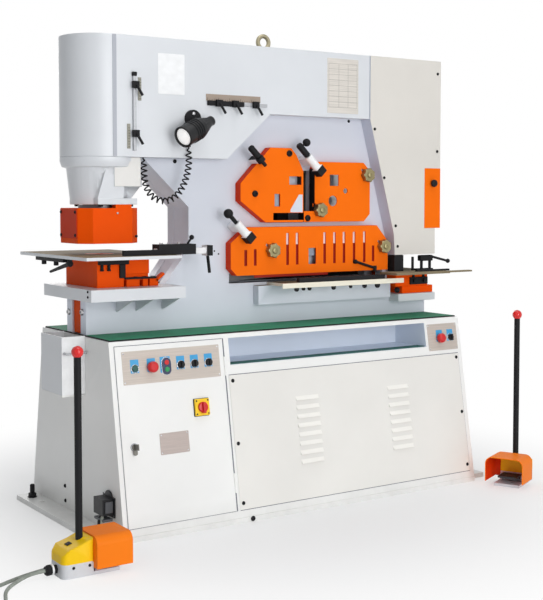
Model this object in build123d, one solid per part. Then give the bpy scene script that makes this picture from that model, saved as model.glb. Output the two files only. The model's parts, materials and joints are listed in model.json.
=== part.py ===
"""Hydraulic ironworker: punch at one end, shears in the middle, notcher at the other end.

Millimetres. The origin is on the floor under the middle of the cabinet. +X runs along the machine from
the punch end to the notcher end, the operator stands on the -Y side, and +Z is up.
"""
import math
import os

from build123d import *

os.makedirs("parts", exist_ok=True)

# Clearances that serve every fit
fit = 0.3
running = 0.08
overrun = 10.0
slip = 1.0

# Cabinet
cabinet_half_length = 835.0
cabinet_height = 700.0
foot_half_depth = 415.0
top_half_depth = 298.0
sheet = 5.0
deck_thickness = 8.0
base_thickness = 20.0
base_flange_reach = 85.0
base_flange_half_depth = 380.0
anchor_inset = 42.0
anchor_half_spacing = 220.0
anchor_radius = 11.0
mat_thickness = 5.0
mat_inset = 12.0

# Openings in the cabinet's front, with the door and the panels that cover them
opening_lap = 16.0
door_left = -815.0
door_right = -368.0
door_bottom = 48.0
door_top = 682.0
door_thickness = 4.0
door_swing_gap = 3.0
hinge_radius = 4.0
hinge_knuckle = 36.0
hinge_lift = 4.5
hinge_leaf = 13.0
hinge_gap_share = 0.01
hinge_place_share = 0.16
slug_hole_height = 80.0
panel_left = -350.0
panel_right = 812.0
panel_bottom = 48.0
panel_top = 545.0
panel_thickness = 3.0
louvre_columns = (-2.5, 457.5)
louvre_rows = 8
louvre_length = 108.0
louvre_pitch = 34.5
louvre_first_height = 182.0
louvre_rise = 16.0
louvre_reach = 8.0
louvre_sheet = 1.5
shelf_left = -338.0
shelf_right = 640.0
shelf_bottom = 583.0
shelf_top = 683.0
shelf_depth = 205.0

# Controls, as places on the sloping front
control_row_height = 601.0
green_button_x = -742.0
red_button_x = -675.0
twin_button_x = -614.0
twin_button_half_gap = 12.5
selector_places = (-554.0, -496.0, -436.0)
main_switch_x = -483.0
main_switch_height = 438.0
lock_x = -769.0
lock_height = 327.0
notch_button_x = 718.0
notch_selector_x = 778.0
notch_control_height = 614.0
button_radius = 12.0
button_reach = 9.0
stem_length = 26.0
twin_button_radius = 9.0
mushroom_radius = 20.0
mushroom_stem_radius = 9.0
mushroom_lift = 14.0
mushroom_travel = 6.0
selector_radius = 13.0
selector_reach = 11.0
selector_grip = 9.0
selector_shaft_radius = 7.0
switch_knob_radius = 20.0
switch_knob_reach = 18.0
switch_shaft_radius = 6.0
lock_radius = 10.0
key_width = 22.0
key_length = 34.0
key_thickness = 3.0

# Main frame: two profiled plates with the shear beam between them
plate_outer = 85.0
plate_inner = 37.0
frame_left = -823.0
frame_right = 830.0
jaw_height = 872.0
throat_foot_x = -498.0
throat_slope_x = -418.0
throat_slope_height = 975.0
throat_back_x = -385.0
throat_back_low = 1037.0
throat_back_high = 1178.0
throat_tip_x = -582.0
upper_jaw_height = 1366.0
upper_frame_left = -618.0
frame_top = 1790.0
frame_shoulder_x = 625.0
frame_step_height = 764.0
spacer_top = 790.0
spacer_left = -680.0
spacer_right = 600.0
head_spacer_half_length = 430.0
head_spacer_height = 100.0
head_spacer_drop = 10.0

# Shear beam, its pivot and its cylinder
pivot_x = -285.0
pivot_height = 1100.0
pivot_radius = 42.0
pivot_skin = 8.0
pivot_boss_radius = 80.0
beam_half_thickness = 36.0
beam_bottom = 945.0
beam_left = -190.0
beam_right = 800.0
beam_head_left_x = -180.0
beam_head_left_height = 1440.0
beam_head_right_x = 430.0
beam_head_right_height = 1500.0
beam_pad_left = 640.0
beam_pad_height = 1335.0
beam_notch_left = 630.0
beam_notch_height = 985.0
shear_cylinder_x = 710.0
shear_cylinder_radius = 80.0
shear_cylinder_bottom = 1440.0
shear_cylinder_top = 1760.0
cylinder_tongue_left = 440.0
cylinder_tongue_bottom = 1540.0
shear_rod_radius = 45.0
shear_rod_top = 1560.0
rod_dome_facets = 4

# Shear blades
blade_depth = 20.0
flat_blade_left = -190.0
flat_blade_right = 580.0
flat_blade_height = 32.0
flat_blade_depth = 25.0
flat_gap_left = 4.5
flat_gap_right = 36.0
slot_left = -200.0
slot_right = 585.0
slot_height = 40.0
corner_right = 191.0
corner_bottom = 1119.0
corner_up = 203.0
corner_along = 204.0
corner_slot_up = 45.0
corner_slot_along = 34.0
corner_blade_margin = 24.0
bar_blade_margin = 32.0
square_bar_x = 294.0
square_bar_height = 1288.0
square_bar = 46.0
round_bar_x = 287.0
round_bar_height = 1202.0
round_bar_radius = 22.0
small_bar_x = 353.0
small_bar_height = 1244.0
small_bar_radius = 11.0
passage_margin = 6.0

# Guards over the shears
guard_front = 125.0
guard_sheet = 5.0
corner_guard_left = -170.0
corner_guard_right = 136.0
guard_line = 1115.0
corner_guard_height = 302.0
bar_guard_left = 138.0
bar_guard_right = 484.0
bar_guard_height = 249.0
flat_guard_left = -216.0
flat_guard_right = 584.0
flat_guard_bottom = 904.0
flat_guard_height = 193.0
adjust_slot_width = 11.0
adjust_slot_length = 42.0
flat_guard_slot_width = 8.0
viewing_left = 163.0
viewing_right = 200.0
viewing_bottom = 941.0
viewing_top = 1007.0
knob_radius = 27.0
knob_reach = 26.0
knob_sides = 7
knob_round = 8.0
stud_radius = 5.0

# Hold-down screws, all laid at the same slope
holddown_y = -152.0
long_holddown = {"block": True, "sleeve": (34.0, 100.0), "post": (58.0, 92.0), "handle": 66.0}
short_holddown = {"block": False, "sleeve": (20.0, 42.0), "post": (20.0, 42.0), "handle": 58.0}
holddowns = {
    "holddown_screw_1": {"tip": (-136.0, 1045.0), **long_holddown},
    "holddown_screw_2": {"tip": (209.0, 1314.0), **long_holddown},
    "holddown_screw_3": {"tip": (-71.0, 1345.0), **short_holddown},
}
holddown_block = 38.0
holddown_sleeve_radius = 17.0
holddown_post_width = 24.0
holddown_rod_radius = 8.0
holddown_handle_radius = 13.0

# Sheet covers over the upper frame
cover_half_depth = 145.0
cover_sheet = 4.0
cover_top = 1815.0
cover_joint_x = 465.0
cover_step_left = -244.0
cover_step_right = -40.0
cover_step_height = 1549.0
end_cover_half_depth = 150.0
end_cover_right = 861.0
end_cover_foot_right = 832.0
end_cover_foot = 968.0
end_cover_notch_height = 1082.0
end_cover_left_low = 603.0
end_cover_left_mid = 598.0
end_cover_mid_height = 1056.0
end_cover_slope_height = 1545.0
eye_x = 20.0
eye_ring_radius = 26.0
eye_wire_radius = 9.0
eye_shank_radius = 14.0
eye_collar_radius = 22.0
eye_collar_height = 12.0
eye_section_sides = 8

# Punch end
punch_x = -727.0
housing_radius = 145.0
punch_cylinder_radius = 105.0
punch_cylinder_top = 1740.0
ram_radius = 60.0
ram_top = 1590.0
ram_bottom = 1176.0
ram_collar_radius = 78.0
ram_collar_height = 11.5
neck_lip_height = 16.0
neck_lip_low = 1330.0
neck_lip_radius = 138.0
neck_high_radius = 121.0
neck_high = 1325.0
neck_low_radius = 109.0
neck_low = 1212.0
neck_flange_bottom = 1189.0
neck_flange_left = -787.0
neck_flange_right = -625.0
neck_flange_half_depth = 120.0
neck_block_left = -704.0
neck_block_right = -587.0
neck_block_bottom = 1256.0
neck_web_half_depth = 70.0
neck_flare_top_left = -752.0
neck_flare_top_right = -672.0
neck_flare_foot_right = -680.0
neck_flare_half_depth = 118.0
neck_pad_left = -721.0
neck_pad_right = -612.0
neck_pad_half_depth = 124.0
neck_tongue_right = -460.0
neck_tongue_top = 1520.0
punch_radius = 14.0
punch_tip = 1050.0
punch_holder_radius = 45.0
punch_holder_bottom = 1124.0
stripper_half_length = 123.0
stripper_half_depth = 120.0
stripper_chamfer = 43.0
stripper_bottom = 1044.0
stripper_floor = 18.0
stripper_bore = 84.0
stripper_hole = 20.0
stripper_lug_left = -715.0
stripper_lug_right = -649.0
tray_left = -868.0
tray_right = -480.0
tray_front = -230.0
tray_back = 200.0
tray_thickness = 10.0
tray_apron = 44.0
tray_apron_sheet = 8.0
gusset_places = (-700.0, -617.0, -506.0)
gusset_drop = 88.0
die_left = -802.0
die_step_x = -693.0
die_right = -587.0
die_half_depth = 140.0
die_overhang_thickness = 60.0
die_hole = 16.0
die_insert_radius = 55.0
clamp_block_places = ((-682.0, -627.0), (-614.0, -592.0), (-585.0, -548.0))
clamp_block_height = 28.0
clamp_block_depth = 80.0
table_left = -908.0
table_right = -523.0
table_front = -280.0
table_back = 341.0
table_bottom = 990.0
table_thickness = 12.0
guide_left = -600.0
guide_right = -388.0
guide_front = -224.0
guide_size = 24.0
guide_end_length = 26.0
guide_end_margin = 8.0
fence_left = -742.0
fence_sleeve_left = -598.0
fence_sleeve_right = -440.0
fence_sleeve_wall = 15.0
fence_bar_depth = 16.0
fence_bar_height = 20.0
lever_radius = 6.0
lever_drop = 74.0

# Flat-bar table and notcher
flat_table_left = -20.0
flat_table_right = 528.0
flat_table_front = -215.0
flat_table_thickness = 12.0
bolster_left = -85.0
bolster_right = 600.0
bolster_bottom = 783.0
flat_fence_left = 60.0
flat_fence_right = 505.0
flat_fence_front = -205.0
flat_fence_depth = 20.0
flat_fence_height = 18.0
notch_table_left = 532.0
notch_table_right = 835.0
notch_table_front = -250.0
notch_table_back = 130.0
notch_table_inner_back = -135.0
notch_table_thickness = 10.0
notch_rail_right = 965.0
notch_rail_depth = 25.0
notch_rail_height = 7.0
notch_shelf_half_depth = 150.0
notch_shelf_height = 33.0
notch_block_left = 658.0
notch_block_right = 834.0
notch_block_half_depth = 135.0
notch_block_height = 32.0
notch_die_left = 612.0
notch_die_right = 795.0
notch_die_half_depth = 145.0
notch_die_height = 57.0
notch_table_bottom = frame_step_height + notch_shelf_height + notch_block_height + notch_die_height
notch_slot_left = 638.0
notch_slot_right = 772.0
notch_slot_half_depth = 40.0
notch_punch_left = 660.0
notch_punch_right = 750.0
notch_punch_half_depth = 30.0
notch_punch_bottom = 925.0

# Stroke stops on the upper cover
stop_rail_x = -650.0
stop_rail_bottom = 1389.0
stop_rail_top = 1677.0
stop_rail_width = 12.0
stop_rail_depth = 10.0
stop_clamp = 26.0
stop_heights = (1452.0, 1632.0)
stop_bar_left = -321.0
stop_bar_right = -62.0
stop_bar_height = 1580.0
stop_places = (-290.0, -215.0, -120.0)
stop_lever_radius = 5.0
stop_lever_length = 46.0

# Work lamp
lamp_base_x = -402.0
lamp_base_height = 1517.0
lamp_base_radius = 33.0
lamp_base_depth = 14.0
lamp_stem_radius = 9.0
lamp_lens = (-490.0, -232.0, 1440.0)
lamp_tail = (-338.0, -184.0, 1510.0)
lamp_head_radius = 40.0
lamp_head_length = 96.0
lamp_tail_radius = 19.0
lamp_wall = 4.0
lamp_bowl_depth = 30.0
lamp_pin_radius = 6.0
lamp_pivot_share = 0.434
lamp_foot_reach = 66.0
lamp_pin_shares = (0.0, 1.0, -0.65)

# Slug drawer on the punch end of the cabinet
drawer_reach = 93.0
drawer_front = -102.0
drawer_back = 90.0
drawer_bottom = 490.0
drawer_top = 705.0
drawer_sheet = 3.0
drawer_ledge = 6.0
handle_wire_radius = 4.0
handle_half_width = 38.0
handle_reach = 26.0
handle_drop = 60.0

# Hydraulic unit and switchgear inside the cabinet
tank_left = 60.0
tank_right = 640.0
tank_half_depth = 230.0
tank_height = 290.0
tank_wall = 4.0
motor_x = 240.0
motor_radius = 90.0
motor_length = 200.0
motor_foot_height = 20.0
pump_radius = 48.0
pump_length = 90.0
valve_x = 520.0
valve_length = 130.0
valve_depth = 100.0
valve_height = 70.0
valve_coil_radius = 22.0
valve_coil_length = 60.0
valve_coil_shares = (-0.25, 0.25)
gear_plate_left = -780.0
gear_plate_right = -400.0
gear_plate_y = -190.0
gear_plate_sheet = 3.0
gear_plate_top = 520.0
gear_plate_foot = 60.0
contactor_places = (-720.0, -640.0, -560.0, -480.0)
contactor_width = 54.0
contactor_height = 84.0
contactor_depth = 70.0
contactor_row_heights = (420.0, 240.0)

# Cable socket on the cabinet's end
socket_y = -300.0
socket_height = 118.0
socket_width = 74.0
socket_rise = 58.0
socket_reach = 46.0
socket_tail_radius = 11.0
socket_tail_length = 40.0

# Foot pedals
pedal_length = 198.0
pedal_width = 110.0
pedal_plate = 12.0
pedal_case_length = 106.0
pedal_case_height = 46.0
pedal_cover_height = 76.0
pedal_hood_end = 234.0
pedal_hood_width = 164.0
pedal_hood_top = 128.0
pedal_hood_foot = 24.0
pedal_hood_sheet = 4.0
pedal_hood_round = 30.0
pedal_rod_along = 80.0
pedal_rod_radius = 12.0
pedal_ball_radius = 20.0
pedal_ball_height = 718.0
pedal_gland_radius = 14.0
pedal_gland_length = 38.0
pedal_gland_height = 24.0
treadle_start = 114.0
treadle_end = 192.0
treadle_half_width = 40.0
treadle_height = 34.0
treadle_thickness = 8.0
treadle_pin_radius = 5.0
left_pedal = (-1170.0, -600.0)
right_pedal = (1048.0, -480.0)
right_pedal_angle = 206.0

# Cords: diameters, and routes as lists of points chosen along their lie
pedal_cable_radius = 6.0
pedal_cable_route = [
    (-1208.0, -600.0, 24.0),
    (-1250.0, -600.0, 24.0),
    (-1295.0, -608.0, 14.0),
    (-1336.0, -630.0, 6.5),
    (-1368.0, -672.0, 6.0),
    (-1392.0, -738.0, 6.0),
    (-1418.0, -815.0, 6.0),
    (-1466.0, -876.0, 6.0),
    (-1540.0, -886.0, 6.0),
    (-1592.0, -834.0, 6.0),
    (-1584.0, -758.0, 6.0),
    (-1524.0, -700.0, 6.0),
    (-1444.0, -652.0, 6.0),
    (-1366.0, -606.0, 6.0),
    (-1286.0, -566.0, 6.0),
    (-1204.0, -538.0, 6.0),
    (-1118.0, -522.0, 6.0),
    (-1034.0, -500.0, 6.0),
    (-996.0, -460.0, 6.0),
    (-962.0, -424.0, 17.0),
    (-928.0, -388.0, 34.0),
    (-896.0, -352.0, 44.0),
    (-880.0, -328.0, 62.0),
    (-872.0, -314.0, 82.0),
]
lamp_cord_radius = 9.5
lamp_cord_route = [
    (-424.0, -156.0, 1408.0),
    (-421.0, -157.0, 1358.0),
    (-429.0, -156.0, 1305.0),
    (-447.0, -154.0, 1256.0),
    (-474.0, -151.0, 1220.0),
    (-507.0, -147.0, 1202.0),
    (-540.0, -142.0, 1202.0),
    (-570.0, -135.0, 1217.0),
    (-591.0, -126.0, 1245.0),
    (-600.0, -116.0, 1285.0),
    (-594.0, -109.0, 1328.0),
    (-594.0, -109.0, 1365.7),
]

# Outlines as shares of each guard's length and height
corner_guard_shares = (
    (0.0, 0.52), (0.0, 0.285), (0.39, 0.0), (1.0, 0.0), (1.0, 0.695), (0.886, 0.91), (0.804, 1.0), (
        0.467, 1.0
    ),
)
bar_guard_shares = (
    (0.0, 0.0), (0.908, 0.0), (1.0, 0.125), (1.0, 0.863), (0.899, 1.0), (0.214, 1.0), (0.159, 0.884),
    (0.159, 0.18), (0.0, 0.18),
)
flat_guard_shares = (
    (0.035, 0.0), (1.0, 0.0), (1.0, 0.648), (0.924, 1.0), (0.1, 1.0), (0.0, 0.68), (0.0, 0.145),
)
short_slot_shares = ((0.0875, 0.2, 0.53), (0.144, 0.2, 0.54), (0.899, 0.2, 0.55))
long_slot_places_share = (0.341, 0.401, 0.576, 0.64, 0.703, 0.77, 0.839)
long_slot_span_share = (0.19, 0.865)
corner_window_shares = (0.771, 0.967, 0.507, 0.619)
corner_slit_shares = (0.549, 0.595, 0.215, 0.381)
pedal_cover_shares = ((0.0, 0.0), (0.0, 0.34), (0.2, 0.6), (0.56, 0.76), (1.0, 1.0), (1.0, 0.0))
knob_shares = {"flat_left": (0.2425, 0.508), "flat_right": (0.964, 0.528), "bar_low": (0.2225, 0.197),
               "bar_high": (0.942, 0.787)}


# Shapes that many pieces share
def block(x, y, z):
    """Box between two limits on each axis."""
    middle = [(span[0] + span[1]) / 2 for span in (x, y, z)]
    return Pos(*middle) * Box(x[1] - x[0], y[1] - y[0], z[1] - z[0])


def rod(start, end, radius):
    """Round bar between two points."""
    run = Vector(*end) - Vector(*start)
    bar = Cylinder(radius, run.length, align=(Align.CENTER, Align.CENTER, Align.MIN))
    return Plane(origin=start, z_dir=run) * bar


def upright(x, y, bottom, top, radius):
    """Round bar standing on Z."""
    return rod((x, y, bottom), (x, y, top), radius)


def profile(points, front, back):
    """Plate with an outline in X and Z, between two places in Y."""
    face = Plane(origin=(0, back, 0), x_dir=(1, 0, 0), z_dir=(0, -1, 0)) * make_face(
        Polyline(*points, close=True)
    )
    return extrude(face, amount=back - front, dir=(0, -1, 0))


def cross_section(points, left, right):
    """Plate with an outline in Y and Z, between two places in X."""
    face = Plane(origin=(left, 0, 0), x_dir=(0, 1, 0), z_dir=(1, 0, 0)) * make_face(
        Polyline(*points, close=True)
    )
    return extrude(face, amount=right - left, dir=(1, 0, 0))


def profile_shell(points, half_depth, wall):
    """Box of sheet with an outline in X and Z, closed all round."""
    outer = make_face(Polyline(*points, close=True))
    inner = offset(outer, amount=-wall, kind=Kind.INTERSECTION)
    at = Plane(origin=(0, half_depth, 0), x_dir=(1, 0, 0), z_dir=(0, -1, 0))
    inner_at = Plane(origin=(0, half_depth - wall, 0), x_dir=(1, 0, 0), z_dir=(0, -1, 0))
    solid = extrude(at * outer, amount=2 * half_depth, dir=(0, -1, 0))
    return solid - extrude(inner_at * inner, amount=2 * (half_depth - wall), dir=(0, -1, 0))


def save(name, *solids):
    """One file for each piece, or for a group of like pieces."""
    shape = solids[0] if len(solids) == 1 else Compound(children=[solid for solid in solids])
    export_step(shape, f"parts/{name}.step")


def stand(face, front, back):
    """A flat face, drawn in X and Z, given its thickness between two places in Y."""
    at = Plane(origin=(0, back, 0), x_dir=(1, 0, 0), z_dir=(0, -1, 0))
    return extrude(at * face, amount=back - front, dir=(0, -1, 0))


def outline_from(shares, left, bottom, length, height):
    """Outline points from shares of a length and a height."""
    return [(left + along * length, bottom + up * height) for along, up in shares]


# The cabinet's sloping front
front_rise = Vector(0, foot_half_depth - top_half_depth, cabinet_height).normalized()
front_out = Vector(0, -front_rise.Z, front_rise.Y)


def front_y(height):
    """Where the sloping front stands at a height."""
    return -foot_half_depth + (foot_half_depth - top_half_depth) * height / cabinet_height


def on_front(x, height):
    """Plane on the sloping front, facing the operator."""
    return Plane(origin=(x, front_y(height), height), x_dir=(1, 0, 0), z_dir=front_out)


def front_pin(x, height, low, high, radius):
    """Round bar square to the sloping front, from one lift above it to another."""
    bar = Cylinder(radius, high - low, align=(Align.CENTER, Align.CENTER, Align.MIN))
    return on_front(x, height).offset(low) * bar


def front_sheet(left, right, bottom, top, lift, thickness):
    """Flat panel lying on the sloping front."""
    slope_length = (top - bottom) / front_rise.Z
    panel = Box(right - left, slope_length, thickness, align=(Align.CENTER, Align.CENTER, Align.MIN))
    return on_front((left + right) / 2, (bottom + top) / 2).offset(lift) * panel


# Base and cabinet
base_half_length = cabinet_half_length + base_flange_reach


def base_plate():
    """Thick floor plate with a flange at each end for the anchor bolts."""
    plate = block(
        (-cabinet_half_length, cabinet_half_length),
        (-foot_half_depth, foot_half_depth),
        (0, base_thickness),
    )
    flange_y = (-base_flange_half_depth, base_flange_half_depth)
    plate += block((-base_half_length, base_half_length), flange_y, (0, base_thickness))
    for side in (-1, 1):
        for end in (-1, 1):
            x = end * (base_half_length - anchor_inset)
            y = side * anchor_half_spacing
            plate -= upright(x, y, -overrun, base_thickness + overrun, anchor_radius)
    return plate


def cabinet_section(wall, top):
    """The cabinet's end view: wide at the foot, narrower at the deck."""
    foot = -front_y(base_thickness) - wall
    head = -front_y(top) - wall
    return [(-foot, base_thickness), (-head, top), (head, top), (foot, base_thickness)]


def hinge_leaf_places():
    """Heights of the door's two hinges."""
    door_height = door_top - door_bottom
    return (door_bottom + door_height * hinge_place_share, door_top - door_height * hinge_place_share)


hinge_x = door_right + door_swing_gap


def hinge_barrel(height, low_share, high_share, radius):
    """Part of a hinge barrel, along the slope of the front."""
    middle = on_front(hinge_x, height).offset(hinge_lift)
    start = middle.origin + front_rise * (hinge_knuckle * low_share)
    end = middle.origin + front_rise * (hinge_knuckle * high_share)
    return rod(tuple(start), tuple(end), radius)


def cabinet():
    """Folded and welded sheet cabinet with a deck, a tool shelf and the openings in its front."""
    outer = cross_section(cabinet_section(0, cabinet_height), -cabinet_half_length, cabinet_half_length)
    inside_top = cabinet_height - deck_thickness
    inside_end = cabinet_half_length - sheet
    inside = cross_section(cabinet_section(sheet / front_rise.Z, inside_top), -inside_end, inside_end)
    body = outer - inside
    shelf_front = front_y(shelf_bottom)
    shelf_back = shelf_front + shelf_depth
    liner = block(
        (shelf_left - sheet, shelf_right + sheet), (shelf_front, shelf_back + sheet), (
            shelf_bottom - sheet, shelf_top + sheet
        )
    )
    body += liner & outer
    body -= block((shelf_left, shelf_right), (-foot_half_depth, shelf_back), (shelf_bottom, shelf_top))
    for left, right, bottom, top in (
        (door_left, door_right, door_bottom, door_top),
        (panel_left, panel_right, panel_bottom, panel_top),
    ):
        body -= block(
            (left + opening_lap, right - opening_lap),
            (-foot_half_depth - overrun, front_y(top) + 2 * sheet),
            (bottom + opening_lap, top - opening_lap),
        )
    for x, radius in ((notch_button_x, mushroom_stem_radius), (notch_selector_x, selector_shaft_radius)):
        body -= front_pin(x, notch_control_height, -stem_length, stem_length, radius + fit)
    for height in hinge_leaf_places():
        leaf = Box(hinge_leaf, hinge_knuckle, hinge_lift, align=(Align.MIN, Align.MIN, Align.MIN))
        body += on_front(hinge_x, height) * leaf
        body += hinge_barrel(height, 0, 1, hinge_radius)
    slug_y = (-plate_inner + sheet, plate_inner - sheet)
    slug_x = (punch_x - plate_inner, punch_x + plate_inner)
    body -= block(slug_x, slug_y, (inside_top - overrun, cabinet_height + overrun))
    chute_z = (inside_top - slug_hole_height - sheet, inside_top - sheet)
    body -= block(
        (-cabinet_half_length - overrun, -cabinet_half_length + sheet + overrun), slug_y, chute_z
    )
    ledge_x = (-cabinet_half_length - drawer_reach, -cabinet_half_length)
    body += block(
        ledge_x, (drawer_front, drawer_back), (drawer_bottom - fit - drawer_ledge, drawer_bottom - fit)
    )
    return body


def deck_mat():
    """Rubber mat laid on the deck, in front of the frame and behind it."""
    edge = top_half_depth - mat_inset
    length = (-cabinet_half_length + mat_inset, cabinet_half_length - mat_inset)
    z = (cabinet_height, cabinet_height + mat_thickness)
    return [block(length, (-edge, -plate_outer - fit), z), block(length, (plate_outer + fit, edge), z)]


def louvre_wedge(outline, length):
    """Length of an outline, whose points are given up the sheet and out of it."""
    end = make_face(Polyline(*outline, close=True))
    across = Plane(origin=(0, 0, 0), x_dir=(0, 1, 0), z_dir=(1, 0, 0))
    return extrude(across * end, amount=length / 2, both=True)


def louvre_panel():
    """Screwed-on panel over the hydraulic unit, with two columns of louvres that open downwards."""
    panel = front_sheet(panel_left, panel_right, panel_bottom, panel_top, 0, panel_thickness)
    hood = louvre_wedge([(0, 0), (louvre_rise, 0), (0, louvre_reach)], louvre_length)
    inner_reach = louvre_reach - louvre_sheet
    inner_rise = louvre_rise * inner_reach / louvre_reach
    back = -panel_thickness - overrun
    inside = [(0, back), (inner_rise, back), (inner_rise, 0), (0, inner_reach)]
    hollow = louvre_wedge(inside, louvre_length - 2 * louvre_sheet)
    for x in louvre_columns:
        for row in range(louvre_rows):
            sheet = on_front(x, louvre_first_height + row * louvre_pitch).offset(panel_thickness)
            panel += sheet * hood
            panel -= sheet * hollow
    return panel


door_face = fit + door_thickness
door_stems = [
    (green_button_x, control_row_height, button_radius),
    (red_button_x, control_row_height, mushroom_stem_radius),
    (twin_button_x, control_row_height + twin_button_half_gap, twin_button_radius),
    (twin_button_x, control_row_height - twin_button_half_gap, twin_button_radius),
    (main_switch_x, main_switch_height, switch_shaft_radius),
    (lock_x, lock_height, lock_radius),
] + [(x, control_row_height, selector_shaft_radius) for x in selector_places]


def door():
    """Sheet door of the switchgear, with holes for the controls and half of each hinge."""
    leaf = front_sheet(door_left, door_right, door_bottom, door_top, fit, door_thickness)
    for x, height, radius in door_stems:
        leaf -= front_pin(x, height, -overrun, door_face + overrun, radius + fit)
    for height in hinge_leaf_places():
        leaf += hinge_barrel(height, -1, -hinge_gap_share, hinge_radius)
        leaf -= hinge_barrel(height, -hinge_gap_share, 1 + hinge_gap_share, hinge_radius + fit)
    return leaf


def push_button(x, height, radius, face):
    """Plain push button: a round pusher that stands out of its hole."""
    return front_pin(x, height, face - stem_length, face + button_reach, radius)


def mushroom_button(x, height, face):
    """Mushroom-headed stop button on its stem."""
    stem = front_pin(x, height, face - stem_length, face + mushroom_lift, mushroom_stem_radius)
    head_low = face + mushroom_travel + slip
    head = front_pin(x, height, head_low, face + 2 * mushroom_lift, mushroom_radius)
    crown = head.faces().sort_by(Axis(on_front(x, height).origin, front_out))[-1]
    return stem + chamfer(crown.edges(), mushroom_radius / 3)


def selector(x, height, face):
    """Turn switch: a round boss with a raised grip, on a shaft."""
    shaft = front_pin(x, height, face - stem_length, face + selector_reach, selector_shaft_radius)
    boss = front_pin(x, height, face + fit, face + selector_reach, selector_radius)
    grip = Box(
        selector_radius / 2,
        2 * selector_radius,
        selector_grip,
        align=(Align.CENTER, Align.CENTER, Align.MIN),
    )
    return shaft + boss + on_front(x, height).offset(face + selector_reach) * grip


def main_switch():
    """Red turning handle of the main switch."""
    face = door_face
    at = on_front(main_switch_x, main_switch_height)
    shaft = front_pin(
        main_switch_x,
        main_switch_height,
        face - stem_length,
        face + switch_knob_reach / 2,
        switch_shaft_radius,
    )
    disc = front_pin(
        main_switch_x, main_switch_height, face + fit, face + switch_knob_reach / 2, switch_knob_radius
    )
    grip = Box(
        switch_shaft_radius * 2,
        2 * switch_knob_radius,
        switch_knob_reach,
        align=(Align.CENTER, Align.CENTER, Align.MIN),
    )
    return shaft + disc + at.offset(face + switch_knob_reach / 2) * grip


def door_key():
    """Cylinder lock with its key."""
    barrel = front_pin(
        lock_x, lock_height, door_face - stem_length, door_face + key_thickness, lock_radius
    )
    bow = Box(key_thickness, key_width, key_length, align=(Align.CENTER, Align.CENTER, Align.MIN))
    return barrel + on_front(lock_x, lock_height).offset(door_face + key_thickness) * bow


# Main frame
def frame_outline():
    """Side view of a frame plate: punch throat on the left, a step for the notcher on the right."""
    return [
        (frame_left, cabinet_height), (frame_left, jaw_height), (throat_foot_x, jaw_height),
        (throat_slope_x, throat_slope_height), (throat_back_x, throat_back_low), (
            throat_back_x, throat_back_high
        ),
        (throat_tip_x, upper_jaw_height), (upper_frame_left, upper_jaw_height), (
            upper_frame_left, frame_top
        ),
        (frame_shoulder_x, frame_top), (frame_shoulder_x, frame_step_height), (
            frame_right, frame_step_height
        ),
        (frame_right, cabinet_height),
    ]


corner_left = corner_right - corner_along
corner_top = corner_bottom + corner_up
corner_blade_x = (corner_left - corner_blade_margin, corner_right + corner_blade_margin)
corner_blade_z = (corner_bottom - corner_blade_margin, corner_top + corner_blade_margin)
bar_blade_x = (
    round_bar_x - round_bar_radius - bar_blade_margin, small_bar_x + small_bar_radius + bar_blade_margin
)
bar_blade_z = (
    round_bar_height - round_bar_radius - bar_blade_margin,
    square_bar_height + square_bar / 2 + bar_blade_margin,
)


def corner_passage(margin, front, back):
    """L-shaped way through for angle section."""
    upright_x = (corner_right - corner_slot_up - margin, corner_right + margin)
    leg = block(upright_x, (front, back), (corner_bottom - margin, corner_top + margin))
    foot_z = (corner_bottom - margin, corner_bottom + corner_slot_along + margin)
    return leg + block((corner_left - margin, corner_right + margin), (front, back), foot_z)


def bar_passages(margin, front, back):
    """Ways through for square bar and two sizes of round bar."""
    half = square_bar / 2 + margin
    square_x = (square_bar_x - half, square_bar_x + half)
    square = block(square_x, (front, back), (square_bar_height - half, square_bar_height + half))
    rounds = [
        rod((x, back, z), (x, front, z), radius + margin)
        for x, z, radius in (
            (round_bar_x, round_bar_height, round_bar_radius),
            (small_bar_x, small_bar_height, small_bar_radius),
        )
    ]
    return [square] + rounds


def side_plate(front, back):
    """One of the two thick frame plates, with the ways through for the stock."""
    plate = profile(frame_outline(), front, back)
    cut_front = front - overrun
    cut_back = back + overrun
    plate -= block((slot_left, slot_right), (cut_front, cut_back), (jaw_height, jaw_height + slot_height))
    plate -= corner_passage(passage_margin, cut_front, cut_back)
    for hole in bar_passages(passage_margin, cut_front, cut_back):
        plate -= hole
    return plate


def pivot_socket(side):
    """Blind seat of the pivot pin in a frame plate."""
    inner = (pivot_x, side * plate_inner, pivot_height)
    deep = (pivot_x, side * (plate_outer - pivot_skin), pivot_height)
    return rod(inner, deep, pivot_radius + running)


def side_plate_front():
    """Operator-side plate, with pockets for the fixed blades."""
    plate = side_plate(-plate_outer, -plate_inner) - pivot_socket(-1)
    pocket_y = (-plate_inner - blade_depth, -plate_inner)
    plate -= block(corner_blade_x, pocket_y, corner_blade_z)
    plate -= block(bar_blade_x, pocket_y, bar_blade_z)
    flat_y = (-plate_inner - flat_blade_depth, -plate_inner)
    return plate - block(
        (flat_blade_left, flat_blade_right), flat_y, (jaw_height - flat_blade_height, jaw_height)
    )


def side_plate_rear():
    """Far plate of the frame."""
    return side_plate(plate_inner, plate_outer) - pivot_socket(1)


def frame_spacers():
    """Blocks that hold the plates apart, and the pin on which the beam turns."""
    gap = (-plate_inner, plate_inner)
    foot = block((spacer_left, spacer_right), gap, (cabinet_height, spacer_top))
    head_top = frame_top - head_spacer_drop
    head = block(
        (-head_spacer_half_length, head_spacer_half_length),
        gap,
        (head_top - head_spacer_height, head_top),
    )
    reach = plate_outer - pivot_skin
    pin = rod((pivot_x, -reach, pivot_height), (pivot_x, reach, pivot_height), pivot_radius)
    return [foot, head, pin]


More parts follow.
